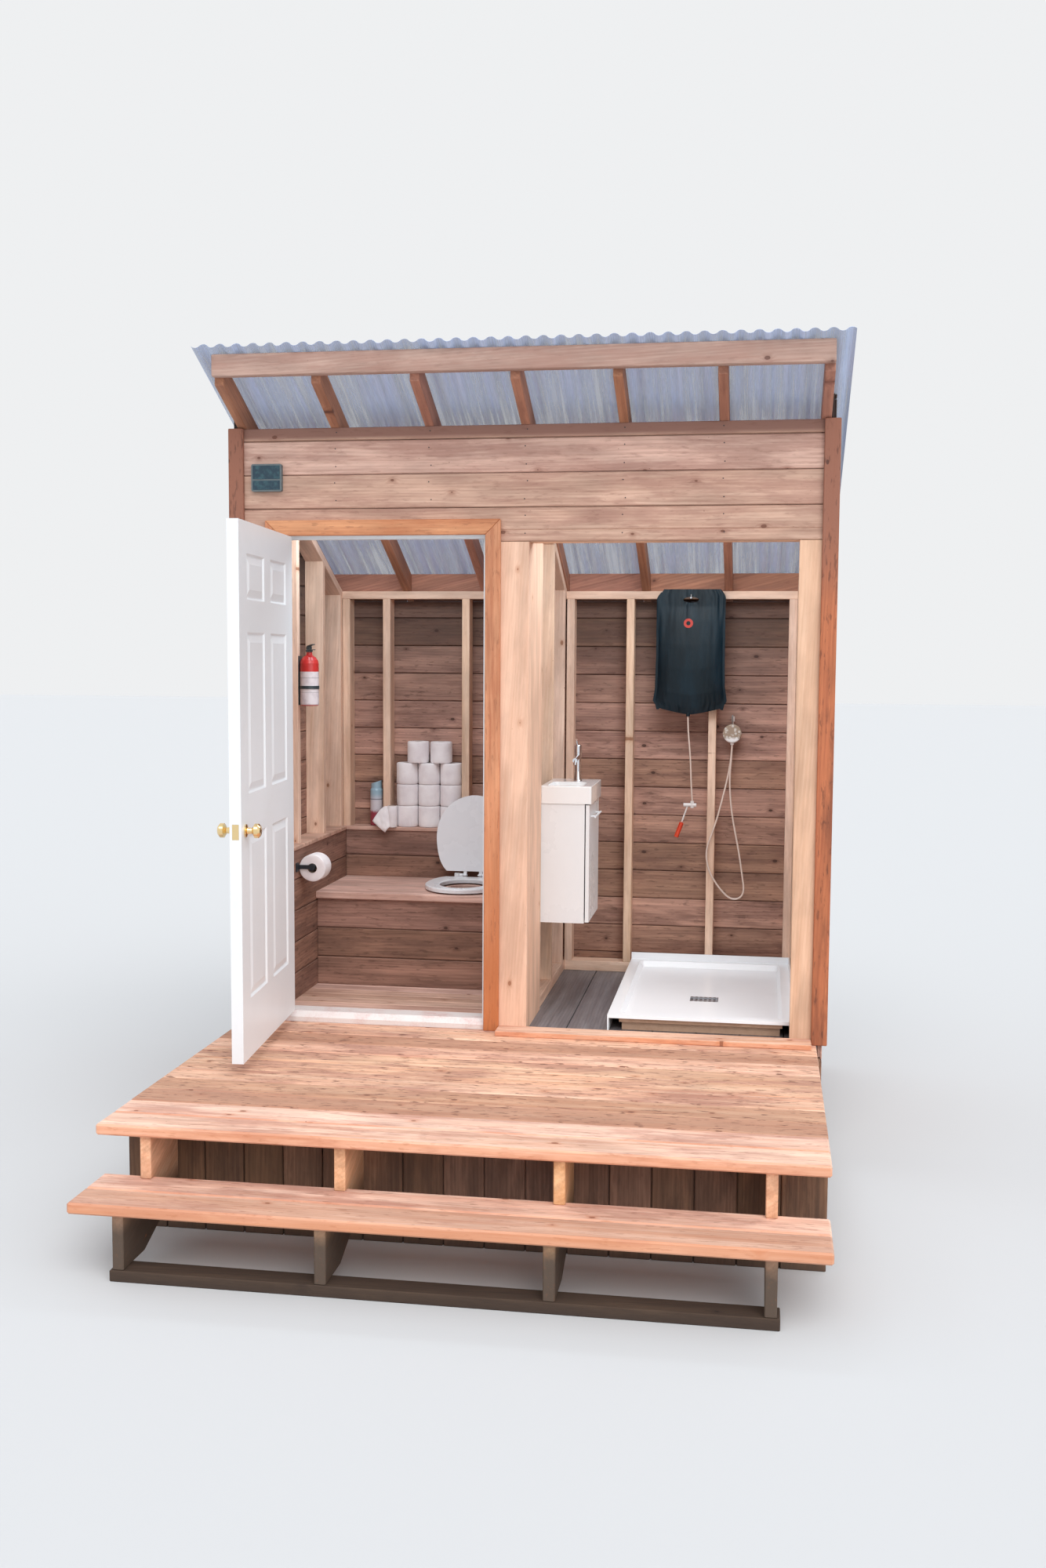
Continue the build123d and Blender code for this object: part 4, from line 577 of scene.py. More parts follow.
def boards(made, outlines, wall, thick, axis, start, pitch, round_by=0.003, lap=LAP, tints=(),
           gap=GROOVE):
    """Fills outlines on a wall with courses of boards, up one axis of the outline. Each board laps
    under its neighbour with its back half, so that no light comes through a joint. Outlines share
    each course's tint, and tints gives those of the first courses."""
    flat = AXES[wall[0]]
    along = [way for way in AXES if way != flat][1 - axis]
    values = [p[axis] for outline in outlines for p in outline]
    first = int((min(values) - start) // pitch)
    last = int((max(values) - start) // pitch)
    for course in range(first, last + 1):
        low, high = start + course * pitch + gap / 2, start + (course + 1) * pitch - gap / 2
        tint = made.rand.random()
        if course - first < len(tints):
            tint = tints[course - first]
        layers = [(low, high, 0.0, thick)]
        if lap:
            step = thick * FRONT_LAYER
            layers = [(low, high, 0.0, step), (low - lap, high - lap, step, thick)]
        for outline in outlines:
            end = max(p[axis] for p in outline)
            for a, b, near, far in layers:
                if b < end < b + LEAST_STRIP + lap:
                    b = end
                strip = cut(cut(list(outline), axis, a, True), axis, b, False)
                reach = [p[axis] for p in strip]
                if len(strip) > 2 and max(reach) - min(reach) > LEAST_STRIP:
                    made.add(plate(strip, wall, near, far), along, flat, round_by, tint)


def board_up(name, node, material, slot, stretches, **how):
    """A piece of boards that stands for a CAD node. Each stretch is what boards asks for."""
    made = Pieces(name)
    for stretch in stretches:
        boards(made, *stretch, **how)
    made.finish(material, node, slot=slot)


def board_floor(name, node, material, slot, axis, start, pitch, **how):
    """Boards as thick as a CAD floor, laid across all of it."""
    low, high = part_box(node)
    stretch = ([span(low, high, Z)], (Z, high.z, -1), high.z - low.z, axis, start, pitch)
    board_up(name, node, material, slot, [stretch], **how)


def rectangle(a0, a1, b0, b1):
    return [(a0, b0), (a1, b0), (a1, b1), (a0, b1)]


def span(low, high, along):
    """The rectangle that a box fills, seen along an axis."""
    a, b = (axis for axis in (X, Y, Z) if axis != along)
    return rectangle(low[a], high[a], low[b], high[b])


def under_slope(low, high):
    """A side's outline in (y, z), level below and along the roof above."""
    return [(low.y, low.z), (high.y, low.z), (high.y, high.z - SLOPE * (high.y - low.y)),
            (low.y, high.z)]


def clear_sheet():
    """Clear corrugated sheet: hazy, streaked pale and dark blue down the slope, and partly see-through.
    """
    s = Shader("clear_sheet", Roughness=0.3, IOR=1.5)
    streak = s.noise(1.0, 4.0, 0.68, s.stretch(s.place(), (52.0, 1.4, 1.4)))
    cloud = s.noise(1.0, 4.0, 0.6, s.stretch(s.place(), (6.0, 1.0, 1.0)))
    mixed = s.plus(s.times(streak, 0.6), cloud, 0.5)
    colour = s.blend(s.ramp(mixed, 0.40, 0.68), (78, 108, 158), (196, 212, 242))
    return s.finish(colour, streak, 0.15, 0.002, Alpha=s.ramp(mixed, 0.38, 0.70, 0.34, 0.72))


def tray_shell():
    """White moulded tray, raw and tan in the open space below its lip, with a grey slotted grate."""
    low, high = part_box("shower_tray")
    middle, half = (low.x + high.x) / 2, (high.x - low.x) / 2
    grate_x, grate_y, grate_back = 0.0625, 0.046, 0.471
    slot_pitch, slot_row = 0.020, 0.030
    lip_under, pan_under, space_middle, space_half, end_wall = 0.058, 0.0405, 0.0245, 0.0225, 0.007
    soft = 0.0004
    s = Shader("tray_shell", Roughness=0.26)
    x, y, z = s.split(s.place())
    cloud = s.noise(3.0, 5.0, 0.6)
    white = s.blend(s.times(s.ramp(cloud, 0.45, 0.8), 0.12), (248, 249, 251), (196, 192, 190))

    def inside(place, centre, reach):
        """One where a place lies within reach of a centre, and zero outside."""
        return s.ramp(s.off(place, centre), reach + soft, reach - soft)

    drain = s.times(inside(x, middle, grate_x), inside(y, low.y + grate_back, grate_y))
    bars = s.math("SINE", s.times(x, 2 * pi / slot_pitch))
    rows = s.math("SINE", s.times(y, 2 * pi / slot_row))
    slots = s.times(s.ramp(bars, -0.3, 0.0), s.ramp(rows, -0.8, -0.5))
    white = s.blend(drain, white, s.blend(slots, (150, 150, 154), (44, 44, 48)))
    bare = s.blend(s.noise(40.0, 4.0), (222, 186, 158), (186, 146, 120))
    under = s.times(s.ramp(z, low.z + lip_under + soft, low.z + lip_under - soft),
                    inside(y, low.y + space_middle, space_half))
    under = s.math("MAXIMUM", under, s.ramp(z, low.z + pan_under + 0.0005, low.z + pan_under))
    under = s.times(under, inside(x, middle, half - end_wall))
    raw = s.math("MAXIMUM", under, s.ramp(s.facing(Z), -0.6, -0.8))
    return s.finish(s.blend(raw, white, bare), s.noise(70.0, 2.0), 0.05, 0.0006,
                    Roughness=s.between(raw, 0.26, 0.85))


def valve_paint():
    """The bag's valve: white plastic with a red nozzle."""
    nozzle_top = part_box("bag_valve")[0].z + 0.077
    s = Shader("valve_paint", Roughness=0.32)
    cloud = s.noise(40.0, 3.0)
    white = s.blend(cloud, (240, 234, 230), (214, 204, 198))
    red = s.blend(cloud, (232, 84, 50), (206, 54, 34))
    below = s.ramp(s.at(Z), nozzle_top + 0.002, nozzle_top)
    return s.finish(s.blend(below, white, red), cloud, 0.05, 0.0004)


def bottle_paint():
    """Extinguisher: red shoulders over a pale blank label, black head, bracket and strap."""
    centre_x, centre_y = -1.084, 0.545
    bottle_r, bottle_top, label_top, label_foot = 0.0431, 0.2455, 0.155, 0.006
    label_lines = (0.128, 0.062)
    s = Shader("bottle_paint", Roughness=0.3, Coat_Weight=0.25)
    x, y, z = s.split(s.place())
    radius = s.length(s.minus(x, centre_x), s.minus(y, centre_y))
    height = s.minus(z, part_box("extinguisher")[0].z)
    cloud = s.noise(26.0, 4.0)
    red = s.blend(cloud, (214, 62, 58), (176, 38, 38))
    label = s.blend(s.ramp(cloud, 0.45, 0.75), (226, 216, 218), (198, 186, 192))
    upper, lower = (s.ramp(s.off(height, at), 0.0016, 0.0008) for at in label_lines)
    label = s.blend(s.times(s.math("ADD", upper, lower), 0.6), label, (120, 120, 124))
    on_label = s.times(s.ramp(height, label_top + 0.003, label_top),
                       s.ramp(height, label_foot - 0.003, label_foot))
    body = s.blend(on_label, red, label)
    black = s.blend(cloud, (40, 50, 54), (58, 70, 74))
    fitting = s.math("MAXIMUM", s.ramp(height, bottle_top, bottle_top + 0.0007),
                     s.ramp(radius, bottle_r, bottle_r + 0.0002))
    return s.finish(s.blend(fitting, body, black), s.noise(300.0, 2.0), 0.06, 0.0004,
                    Roughness=s.between(fitting, 0.28, 0.5))


def can_paint():
    """Spray can: pale blue fading to white, a red foot with a ragged edge, and a pale top."""
    band_at, foot_top, shoulder = 0.135, 0.088, 0.19
    s = Shader("can_paint", Roughness=0.26, Coat_Weight=0.3)
    height = s.minus(s.at(Z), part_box("spray_can")[0].z)
    ragged = s.plus(height, s.noise(34.0, 3.0), 0.05)
    pale = s.blend(s.ramp(height, 0.12, 0.17), (214, 208, 214), (158, 188, 204))
    body = s.blend(s.ramp(ragged, foot_top + 0.020, foot_top), pale, (158, 62, 78))
    band = s.ramp(s.off(height, band_at), 0.0028, 0.0018)
    body = s.blend(s.times(band, 0.7), body, (64, 80, 92))
    top = s.times(s.ramp(s.facing(Z), 0.8, 0.9), s.ramp(height, shoulder, shoulder + 0.01))
    return s.finish(s.blend(top, body, (232, 232, 234)), s.noise(400.0, 2.0), 0.05, 0.0003)


def lamp_grey():
    """Solar light: grey-green case with two dark blue glassy panels."""
    glass_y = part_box("solar_light")[0].y + 0.0006
    s = Shader("lamp_grey", Roughness=0.4)
    cloud = s.noise(60.0, 4.0)
    case = s.blend(cloud, (112, 122, 124), (80, 90, 94))
    panel = s.blend(s.ramp(cloud, 0.4, 0.7), (34, 58, 72), (52, 86, 94))
    glass = s.ramp(s.at(Y), glass_y + 0.0006, glass_y)
    return s.finish(s.blend(glass, case, panel), cloud, 0.05, 0.0004,
                    Roughness=s.between(glass, 0.5, 0.14))


def head_plastic():
    """Shower head: clear dome that shows its works, white toward the hose."""
    dome_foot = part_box("shower_head")[1].z - 0.052
    s = Shader("head_plastic", Roughness=0.12, IOR=1.45)
    works = s.cells(70.0)
    clear = s.blend(s.ramp(works, 0.2, 0.6), (244, 236, 226), (184, 160, 138))
    height = s.plus(s.at(Z), s.noise(50.0, 2.0), 0.02)
    white = s.ramp(height, dome_foot, dome_foot - 0.014)
    return s.finish(s.blend(white, clear, (240, 236, 234)), works, 0.15, 0.001,
                    Alpha=s.between(white, 0.9, 1.0),
                    Transmission_Weight=s.between(white, 0.2, 0.0))


def tissue():
    """Soft paper with a fine quilted emboss; the tint tells the card core from the paper."""
    s = Shader("tissue", Roughness=0.92, Sheen_Weight=0.2)
    cloud = s.noise(9.0, 4.0)
    paper = s.blend(s.ramp(cloud, 0.35, 0.75), (250, 244, 244), (232, 222, 224))
    card = s.blend(cloud, (178, 146, 118), (150, 120, 96))
    emboss = s.plus(s.cells(210.0), s.noise(60.0, 3.0), 0.8)
    is_card = s.ramp(s.attribute("tint")["Fac"], 0.4, 0.6)
    return s.finish(s.blend(is_card, paper, card), emboss, 0.22, 0.0009)


def bag_skin(top, middle):
    """Dark blue-black film with a satin sheen, fine creases, and one plain round red mark."""
    ring_x, ring_z, ring_r, ring_hole, front_y = middle - 0.011, top - 0.164, 0.023, 0.0095, 1.2235
    s = Shader("black_bag", Roughness=0.4, Specular_IOR_Level=0.28)
    x, y, z = s.split(s.place())
    cloud = s.noise(5.0, 5.0, 0.6, s.stretch(s.place(), (2.0, 2.0, 0.7)))
    crease = s.noise(16.0, 4.0, 0.6, s.stretch(s.place(), (3.0, 3.0, 0.5)))
    film = s.blend(s.ramp(cloud, 0.35, 0.75), (3, 21, 29), (11, 35, 46))
    away = s.length(s.minus(x, ring_x), s.minus(z, ring_z))
    ring = s.times(s.ramp(away, ring_r, ring_r - 0.0015), s.ramp(y, front_y + 0.001, front_y))
    ring = s.times(ring, s.ramp(away, ring_hole, ring_hole + 0.0015))
    return s.finish(s.blend(ring, film, (190, 62, 50)), crease, 0.35, 0.003,
                    Roughness=s.ramp(crease, 0.3, 0.7, 0.34, 0.52, "LINEAR"))


def clad_walls(mats):
    """Horizontal boards on the outer walls, cut round the openings and under the roof."""
    left, right = (corner.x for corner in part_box("front_siding"))
    jamb_low, jamb_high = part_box("door_jamb")
    jamb_top, wash_head = jamb_high.z + FIT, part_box("headers")[0].z
    outlines = [
        rectangle(left, right, jamb_top, RAFTER_UNDER_0 - FIT),
        rectangle(jamb_high.x + FIT, right, wash_head, jamb_top),
        rectangle(left, jamb_low.x - FIT, DECK_TOP, jamb_top),
    ]
    board_up("boards_front", "front_siding", mats["cedar_boards"], "cedar_boards",
             [(outlines, (Y, 0.0, 1), BOARD_T - BACK_GAP, *WALL_COURSES)])
    slope = under_slope(*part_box("side_siding"))
    board_up("boards_side", "side_siding", mats["outer_boards"], "cedar_boards",
             [([slope], (X, way * HALF_W, way), BOARD_T, *WALL_COURSES) for way in (-1, 1)])
    back = Pieces("boards_back")
    low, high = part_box("back_siding")
    boards(back, [span(low, high, Y)], (Y, low.y, 1), high.y - low.y, *WALL_COURSES)
    for bay in solids_of("roof_blocking"):
        bay_low, bay_high = extent(bay)
        bay.free()
        filler = rectangle(bay_low.x, bay_high.x, high.z + FILLER_GAP, high.z + FILLER_H)
        back.add(plate(filler, (Y, low.y, 1), 0.0, FILLER_T), RIGHT, INWARD, 0.001)
    back.finish(mats["outer_boards"], "back_siding", slot="cedar_boards")


def line_rooms(mats):
    """Boards inside the rooms: lower walls, bench riser, partition and floors."""
    brown = mats["brown_boards"]
    low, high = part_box("wall_boards")
    back = rectangle(low.x + BOARD_T + CORNER_GAP, high.x, low.z, high.z)
    board_up("boards_walls", "wall_boards", brown, "brown_boards", [
        ([span(low, high, X)], (X, low.x, 1), BOARD_T, *ROOM_COURSES),
        ([back], (Y, high.y - BOARD_T, 1), BOARD_T, *ROOM_COURSES),
    ])
    low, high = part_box("bench_riser")
    board_up("boards_riser", "bench_riser", brown, "brown_boards",
             [([span(low, high, Y)], (Y, low.y, 1), BOARD_T, *RISER_COURSES)])
    low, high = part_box("partition_boards")
    board_up("boards_partition", "partition_boards", brown, "brown_boards",
             [([under_slope(low, high)], (X, low.x, 1), high.x - low.x, *WALL_COURSES)])
    board_floor("boards_toilet_floor", "toilet_floor", mats["bench_wood"], "brown_boards",
                *FLOOR_COURSES)
    board_floor("planks_wash_floor", "wash_floor", mats["vinyl_plank"], "vinyl_plank",
                *PLANK_COURSES, round_by=0.001)


def lay_deck(mats):
    """Deck boards, and the upright boards that close the space below."""
    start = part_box("deck_boards")[0].y - DECK_GAP
    board_floor("boards_deck", "deck_boards", mats["deck_cedar"], "deck_cedar", 1, start, DECK_PITCH,
                round_by=0.004, lap=0.0, tints=(0.98, 0.86, 0.3, 0.5), gap=DECK_GAP)
    low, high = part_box("skirting")
    front = rectangle(-SKIRT_HALF_W, SKIRT_HALF_W, 0.0, SKIRT_FRONT_TOP)
    flank = rectangle(low.y + BOARD_T + CORNER_GAP, -CORNER_GAP, 0.0, SKIRT_FRONT_TOP)
    side = rectangle(0.0, high.y, 0.0, SKIRT_TOP)
    back = rectangle(-HALF_W + CORNER_GAP, HALF_W - CORNER_GAP, 0.0, SKIRT_TOP)
    walls = [(front, (Y, low.y, 1), SKIRT_START)]
    for way in (-1, 1):
        walls.append((flank, (X, way * SKIRT_HALF_W, -way), 0.0))
        walls.append((side, (X, way * HALF_W, way), 0.0))
    walls.append((back, (Y, high.y - BOARD_T, 1), 0.0))
    board_up("boards_skirt", "skirting", mats["skirt_wood"], "weathered_wood",
             [([outline], wall, BOARD_T, 0, first, SKIRT_PITCH) for outline, wall, first in walls],
             round_by=SKIRT_EASE)


def dress_timber(mats):
    """Frame, trims, roof timbers, steps and bench, from the part's own solids."""
    eased = {
        ("fir_frame", "fir_frame", 0.002): ("front_posts", "headers", "partition_panel"),
        ("stud_wood", "fir_frame", 0.002): ("wall_studs", "wall_plates"),
        ("cedar_trim", "cedar_trim", 0.003): ("door_casing",),
        ("corner_wood", "cedar_trim", 0.003): ("corner_trims",),
        ("rafter_cedar", "rafter_cedar", 0.002): ("rafters", "roof_blocking"),
        ("fascia_cedar", "pale_cedar", 0.004): ("fascia",),
        ("pale_cedar", "pale_cedar", 0.006): ("wash_sill",),
        ("stringer_wood", "weathered_wood", 0.003): ("stair_stringers",),
        ("weathered_wood", "weathered_wood", 0.003): ("ground_plate", "skids", "joists"),
    }
    for (material, slot, ease), nodes in eased.items():
        for node in nodes:
            timber(node, mats[material], slot, ease)
    for node in ("bench_top", "ledge"):
        timber(node, mats["bench_wood"], "brown_boards", 0.003, RIGHT, UP)
    for node, tints in (("deck_nosing", (0.4, 0.2)), ("step_boards", (0.9, 0.2))):
        timber(node, mats["pale_cedar"], "pale_cedar", 0.006, RIGHT, UP, tints)


def dress_rest(mats):
    """Finishes for the pieces whose shape comes from the part."""
    finishes = {
        "white_paint": ("door_leaf", "door_jamb"),
        "white_laminate": ("cabinet", "cabinet_door"),
        "white_ceramic": ("basin",),
        "white_plastic": ("toilet_seat", "toilet_lid", "seat_hinges"),
        "brass": ("door_knobs", "door_hinges", "hinge_leaves", "latch_plate"),
        "chrome": ("tap_body", "tap_lever"),
        "zinc": ("wall_hooks",),
        "sill_metal": ("threshold",),
        "white_fitting": ("hose_connector",),
        "dark_plastic": ("roll_holder",),
    }
    dressed = {node: mats[name] for name, nodes in finishes.items() for node in nodes}
    dressed.update({
        "shower_tray": tray_shell(), "shower_head": head_plastic(), "bag_valve": valve_paint(),
        "extinguisher": bottle_paint(), "spray_can": can_paint(), "solar_light": lamp_grey(),
        "roof_sheet": clear_sheet(),
    })
    for node, material in dressed.items():
        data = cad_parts[node].data
        data.materials.clear()
        data.materials.append(material)


def level(rows, share):
    """A value between (share, value) rows, by straight lines."""
    for (a, low), (b, high) in zip(rows, rows[1:]):
        if share <= b:
            return low + (high - low) * (share - a) / (b - a)
    return rows[-1][1]


def lathe(profile, place=Matrix.Identity(4), steps=48, dent=0.0, seed=0.0):
    """A closed solid turned about an upright line from a closed loop of (radius, height) points.
    dent lets the radius wander, as on something soft."""
    bm = bmesh.new()
    rings = []
    for i in range(steps):
        angle = 2 * pi * i / steps
        out = Vector((cos(angle), sin(angle), 0.0))
        ring = []
        for radius, height in profile:
            wander = noise.noise(Vector((out.x * DENTS[0], out.y * DENTS[0], height * DENTS[1] + seed)))
            spot = out * radius * (1 + dent * wander) + Vector((0.0, 0.0, height))
            ring.append(bm.verts.new(place @ spot))
        rings.append(ring)
    for here, there in zip(rings, turned(rings)):
        for corners in zip(here, there, turned(there), turned(here)):
            bm.faces.new(corners)
    return bm


def roll(made, place, radius, height, seed):
    """One paper roll: a soft cylinder with rounded edges, slightly dished ends and a card core."""
    core, edge = CORE_R, ROLL_EDGE
    foot = [(core + 0.0012, 0.002), (core + 0.0015, 0.0), ((radius + core) / 2, 0.0012),
            (radius - edge, 0.0), (radius - edge * 0.3, edge * 0.3), (radius, edge)]
    shares = (0.2, 0.4, 0.6, 0.8)
    if radius - core < THIN_ROLL:
        foot = [(core + 0.0012, 0.002), (core + 0.0014, 0.0), (radius - 0.001, 0.0), (radius, 0.002)]
        shares = (0.5,)
    body = foot + [(radius, height * share) for share in shares]
    body += [(r, height - z) for r, z in foot[::-1]]
    made.add(lathe(body, place, dent=0.014, seed=seed), UP, RIGHT, 0.0, 0.0)
    card = rectangle(core, core + 0.0011, 0.001, height - 0.001)
    made.add(lathe(card, place), UP, RIGHT, 0.0, 1.0)


def paper_goods():
    """The stacked rolls, the worn roll with its hanging end, and the roll on the wall."""
    material = tissue()
    rolls = Pieces("paper_stack")
    worn = None
    for number, part in enumerate(solids_of("paper_rolls")):
        low, high = extent(part)
        part.free()
        radius, height = (high.x - low.x) / 2, high.z - low.z
        centre = Vector(((low.x + high.x) / 2, (low.y + high.y) / 2, low.z))
        turn = Matrix.Rotation(number * 2.3, 4, "Z")
        roll(rolls, Matrix.Translation(centre) @ turn, radius - ROLL_IN, height, number * 7.1)
        if radius < WORN_R:
            worn = centre
    rolls.finish(material, "paper_rolls", slot="paper", smooth=True)
    wall = Pieces("paper_on_wall")
    low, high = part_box("paper_roll")
    turn = Matrix.Rotation(radians(-90), 4, "X")
    place = Matrix.Translation(((low.x + high.x) / 2, low.y, (low.z + high.z) / 2)) @ turn
    roll(wall, place, (high.x - low.x) / 2 - ROLL_IN, high.y - low.y, 3.0)
    wall.finish(material, "paper_roll", slot="paper", smooth=True)
    paper_end(material, worn)


def paper_end(material, worn):
    """The worn roll's loose end: it leaves the roll's side, turns over the ledge's edge and hangs."""
    top, bottom = (interpolate_bezier(*(worn + Vector(step) for step in edge), END_STEPS + 1)
                   for edge in (END_TOP, END_BOTTOM))
    bm = bmesh.new()
    grid = []
    for i in range(END_STEPS + 1):
        share = i / END_STEPS
        row = []
        for j in range(END_COLUMNS + 1):
            across = j / END_COLUMNS
            spot = top[i].lerp(bottom[i], across)
            ripple = noise.noise(Vector((i * 0.16, j * 0.22, 4.0))) * 0.006 * share
            spot.y += ripple - 0.008 * sin(pi * across) * share
            row.append(bm.verts.new(spot))
        grid.append(row)
    for here, there in zip(grid, grid[1:]):
        for corners in zip(here, there, there[1:], here[1:]):
            bm.faces.new(corners)
    end = Pieces("paper_end")
    bm.normal_update()
    end.add(bm, UP, INWARD, 0.0, 0.0)
    made = end.finish(material, slot="paper", smooth=True)
    thin = made.modifiers.new("thin", "SOLIDIFY")
    thin.thickness = 0.0003


def bag_places(middle, half, top):
    """The bag's flat grid of places by row and column, and which of them its hand hole takes."""
    places = {}
    for i in range(BAG_ROWS + 1):
        share = i / BAG_ROWS
        for j in range(BAG_COLUMNS + 1):
            u = -1 + 2 * j / BAG_COLUMNS
            foot = top - BAG_H + 0.030 * min(1.0, abs(u) * 1.1) ** 1.3 - 0.006 * (abs(u) > 0.93)
            head = top - (0.016 if u < -0.9 else 0.004 if u > 0.97 else 0.0)
            z = foot + share * (head - foot)
            width = half * level(BAG_WIDTHS, share)
            width *= 1 + 0.012 * noise.noise(Vector((u * 2, z * 16, 8.0))) - 0.006
            places[i, j] = Vector((middle.x + u * width, middle.y, z))
    hole_z = top - HOLE_DROP

    def reach(spot):
        """How far a place is from the hole's centre, where 1 is the hole's edge."""
        return (((spot.x - middle.x) / HOLE_X) ** 2 + ((spot.z - hole_z) / HOLE_Z) ** 2) ** 0.5

    gone = {key for key, spot in places.items() if reach(spot) < 1.0}
    for (i, j), spot in places.items():
        beside = any((i + a, j + b) in gone for a in (-1, 0, 1) for b in (-1, 0, 1))
        if beside and (i, j) not in gone:
            away = reach(spot)
            spot.x = middle.x + (spot.x - middle.x) / away
            spot.z = hole_z + (spot.z - hole_z) / away
    return places, gone


def bag_depths(u, share, belly):
    """At a place across and up the bag: how far its middle wanders, and how far each skin bulges."""
    dome = max(0.0, 1 - (abs(u) / 0.93) ** 2.4) ** 0.7
    fill = belly * level(BAG_BELLY, share) * dome
    fold = noise.noise(Vector((u * 7.5, share * 2.2, 1.0))) * 0.0035 * (0.35 + share)
    gather = sin(u * 34 + 3 * noise.noise(Vector((u * 2, share * 3, 5.0))))
    gather *= 0.0016 * max(0.0, 1 - abs(share - 0.9) / 0.22)
    pleat = noise.noise(Vector((u * 16, share * 9, 2.0))) * 0.004 * max(0.0, 1 - share / 0.2)
    shift = (fold + gather) * max(0.0, 1 - fill / (belly * 1.6))
    return shift, 0.0010 + fill * 0.94 + max(-fill * 0.5, pleat * (fill > 0.001))


def water_bag():
    """The shower's bag: two skins welded round the rim, full low down, creased and gathered above,
    with a hand hole that the hook passes through."""
    low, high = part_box("shower_bag")
    middle = (low + high) / 2
    belly = (high.y - low.y) / 2 - 0.002
    places, gone = bag_places(middle, (high.x - low.x) / 2 - FIT, high.z)
    bm = bmesh.new()
    skins = {-1: {}, 1: {}}
    for (i, j), spot in places.items():
        if (i, j) in gone:
            continue
        shift, bulge = bag_depths(-1 + 2 * j / BAG_COLUMNS, i / BAG_ROWS, belly)
        for side, skin in skins.items():
            y = min(max(middle.y + shift + side * bulge, low.y + 0.0005), high.y - 0.0005)
            skin[i, j] = bm.verts.new(Vector((spot.x, y, spot.z)))
    links = {}
    for i in range(BAG_ROWS):
        for j in range(BAG_COLUMNS):
            corners = ((i, j), (i, j + 1), (i + 1, j + 1), (i + 1, j))
            if any(c in gone for c in corners):
                continue
            for side, skin in skins.items():
                order = corners if side < 0 else corners[::-1]
                bm.faces.new([skin[c] for c in order])
            for a, b in zip(corners, turned(corners)):
                key = (min(a, b), max(a, b))
                links[key] = links.get(key, 0) + 1
    for (a, b), count in links.items():
        if count == 1:
            bm.faces.new((skins[-1][a], skins[-1][b], skins[1][b], skins[1][a]))
    made = Pieces("water_bag")
    made.add(bm, UP, INWARD, 0.0, 0.5)
    neck = [(NECK_R, 0.0), (NECK_R, 0.012), (NECK_R * 0.8, 0.016), (NECK_R * 0.8, 0.030),
            (NECK_R, 0.034), (NECK_R, 0.052), (0.0005, 0.052), (0.0005, 0.0)]
    place = Matrix.Translation((TUBE_ROUTE[0][0], middle.y, low.z))
    made.add(lathe(neck, place, 20), UP, INWARD, 0.0, 0.5)
    bag = made.finish(bag_skin(high.z, middle.x), "shower_bag", slot="black_bag", smooth=True)


def nails(mats):
    """Rows of flush nail heads where the front boards cross the studs."""
    made = Pieces("nails")
    door_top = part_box("door_jamb")[1].z + NAIL_OVER_DOOR
    lowest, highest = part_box("headers")[0].z + NAIL_MARGIN, RAFTER_UNDER_0 - NAIL_MARGIN
    for x in STUD_LINES:
        for row in NAIL_ROWS:
            z = COURSE_TOP + row * COURSE
            if (x < NAIL_LEFT and z < door_top) or z < lowest or z > highest:
                continue
            place = Matrix.Translation((x + made.rand.uniform(-NAIL_WANDER, NAIL_WANDER), 0.0, z))
            head = lathe(NAIL_HEAD, place @ Matrix.Rotation(radians(90), 4, "X"), 8)
            made.add(head, UP, INWARD, 0.0, 0.5)
    made.finish(mats["dark_plastic"], slot="dark_plastic")


def hose(name, route, diameter, material, *nodes):
    """A smooth line with the route's points as its control points, as thick as the tube."""
    curve = bpy.data.curves.new(name, "CURVE")
    curve.dimensions = "3D"
    spline = curve.splines.new("NURBS")
    spline.points.add(len(route) - 1)
    for point, place in zip(spline.points, route):
        point.co = (*place, 1.0)
    spline.order_u = 3
    spline.use_endpoint_u = True
    spline.resolution_u = 10
    curve.bevel_depth = diameter / 2
    curve.bevel_resolution = 4
    curve.use_fill_caps = True
    curve.materials.append(material)
    made = add_object(name, curve)
    settle(made, nodes, "clear_tube")
    return made


def hang_cords(mats):
    """The tube under the bag and the shower hose in its long loop."""
    tube = hose("tube_line", TUBE_ROUTE, 0.008, mats["clear_tube"], "bag_tube")
    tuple(TUBE_ROUTE[0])
    line = hose("hose_line", HOSE_ROUTE, 0.009, mats["clear_tube"], "shower_hose")
    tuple(HOSE_ROUTE[0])


def set_camera():
    """The camera of the photograph."""
    data = bpy.data.cameras.new("camera")
    data.lens = CAMERA_LENS
    data.clip_end = 200.0
    camera = add_object("camera", data)
    place = Matrix.Translation(CAMERA_PLACE)
    for angle, axis in ((CAMERA_YAW, "Z"), (pi / 2 + CAMERA_PITCH, "X"), (CAMERA_ROLL, "Z")):
        place = place @ Matrix.Rotation(angle, 4, axis)
    camera.matrix_world = place
    bpy.context.scene.camera = camera


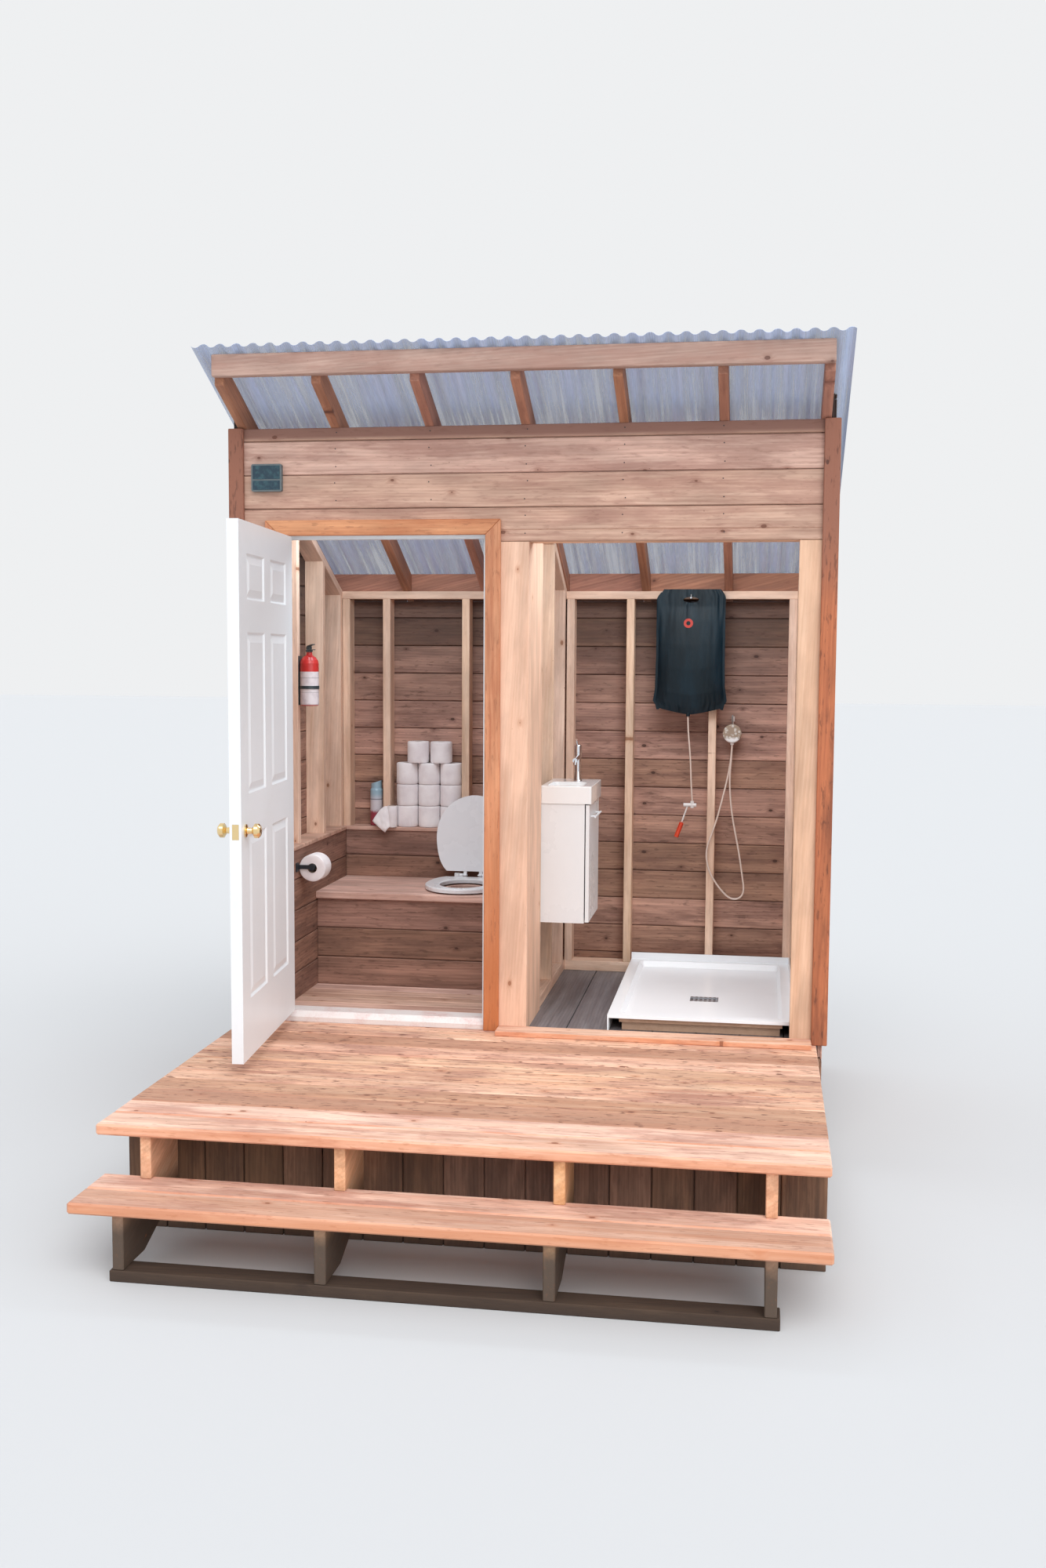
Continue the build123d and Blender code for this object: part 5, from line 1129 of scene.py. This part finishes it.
def set_stage():
    """A plain pale floor and a pale surround."""
    mesh = bpy.data.meshes.new("stage_floor")
    corners = rectangle(-STAGE_HALF, STAGE_HALF, -STAGE_HALF, STAGE_HALF)
    mesh.from_pydata([(x, y, 0) for x, y in corners], [], [(0, 1, 2, 3)])
    mesh.materials.append(Shader("stage_floor", Roughness=0.9, Base_Color=STAGE_COLOUR).mat)
    add_object("stage_floor", mesh)
    world = bpy.data.worlds.new("surround")
    world.use_nodes = True
    w = Nodes(world.node_tree)
    light = w.tree.nodes["Background"]
    w.feed(light, {"Color": SKY_COLOUR, "Strength": SKY_STRENGTH})
    seen = w.node("Background", Color=BACKDROP, Strength=1.0)
    path = w.node("LightPath")
    direct = path.outputs["Is Camera Ray"]
    for ray in ("Is Glossy Ray", "Is Transmission Ray"):
        direct = w.math("MAXIMUM", direct, path.outputs[ray])
    mix = w.node("MixShader", i0=direct, i1=light.outputs[0], i2=seen.outputs[0])
    w.feed(w.tree.nodes["World Output"], {"Surface": mix.outputs[0]})
    bpy.context.scene.world = world
    bpy.context.scene.view_settings.view_transform = "Standard"


def set_lights():
    """Soft suns, and daylight in the rooms."""
    for name, energy, spread, tilt, turn in SUNS:
        sun = bpy.data.lights.new(name, "SUN")
        sun.energy = energy
        sun.angle = radians(spread)
        add_object(name, sun).rotation_euler = (radians(tilt), 0.0, radians(turn))
    for x, y, z, wide, deep, power in ROOM_LIGHTS:
        panel = bpy.data.lights.new("room", "AREA")
        panel.shape = "RECTANGLE"
        panel.size, panel.size_y = wide, deep
        panel.energy = power
        panel.color = ROOM_COLOUR
        lamp = add_object("room", panel)
        lamp.location = (x, y, z)
        lamp.rotation_euler = (radians(ROOM_TILT), 0.0, 0.0)
        lamp.visible_camera = False


mats = {name: wood(name, *colours, **values) for name, (*colours, values) in WOODS.items()}
mats.update({name: painted(name, *values) for name, values in PAINTS.items()})
set_camera()
set_stage()
set_lights()
hang_cords(mats)
clad_walls(mats)
line_rooms(mats)
lay_deck(mats)
dress_timber(mats)
dress_rest(mats)
nails(mats)
paper_goods()
water_bag()
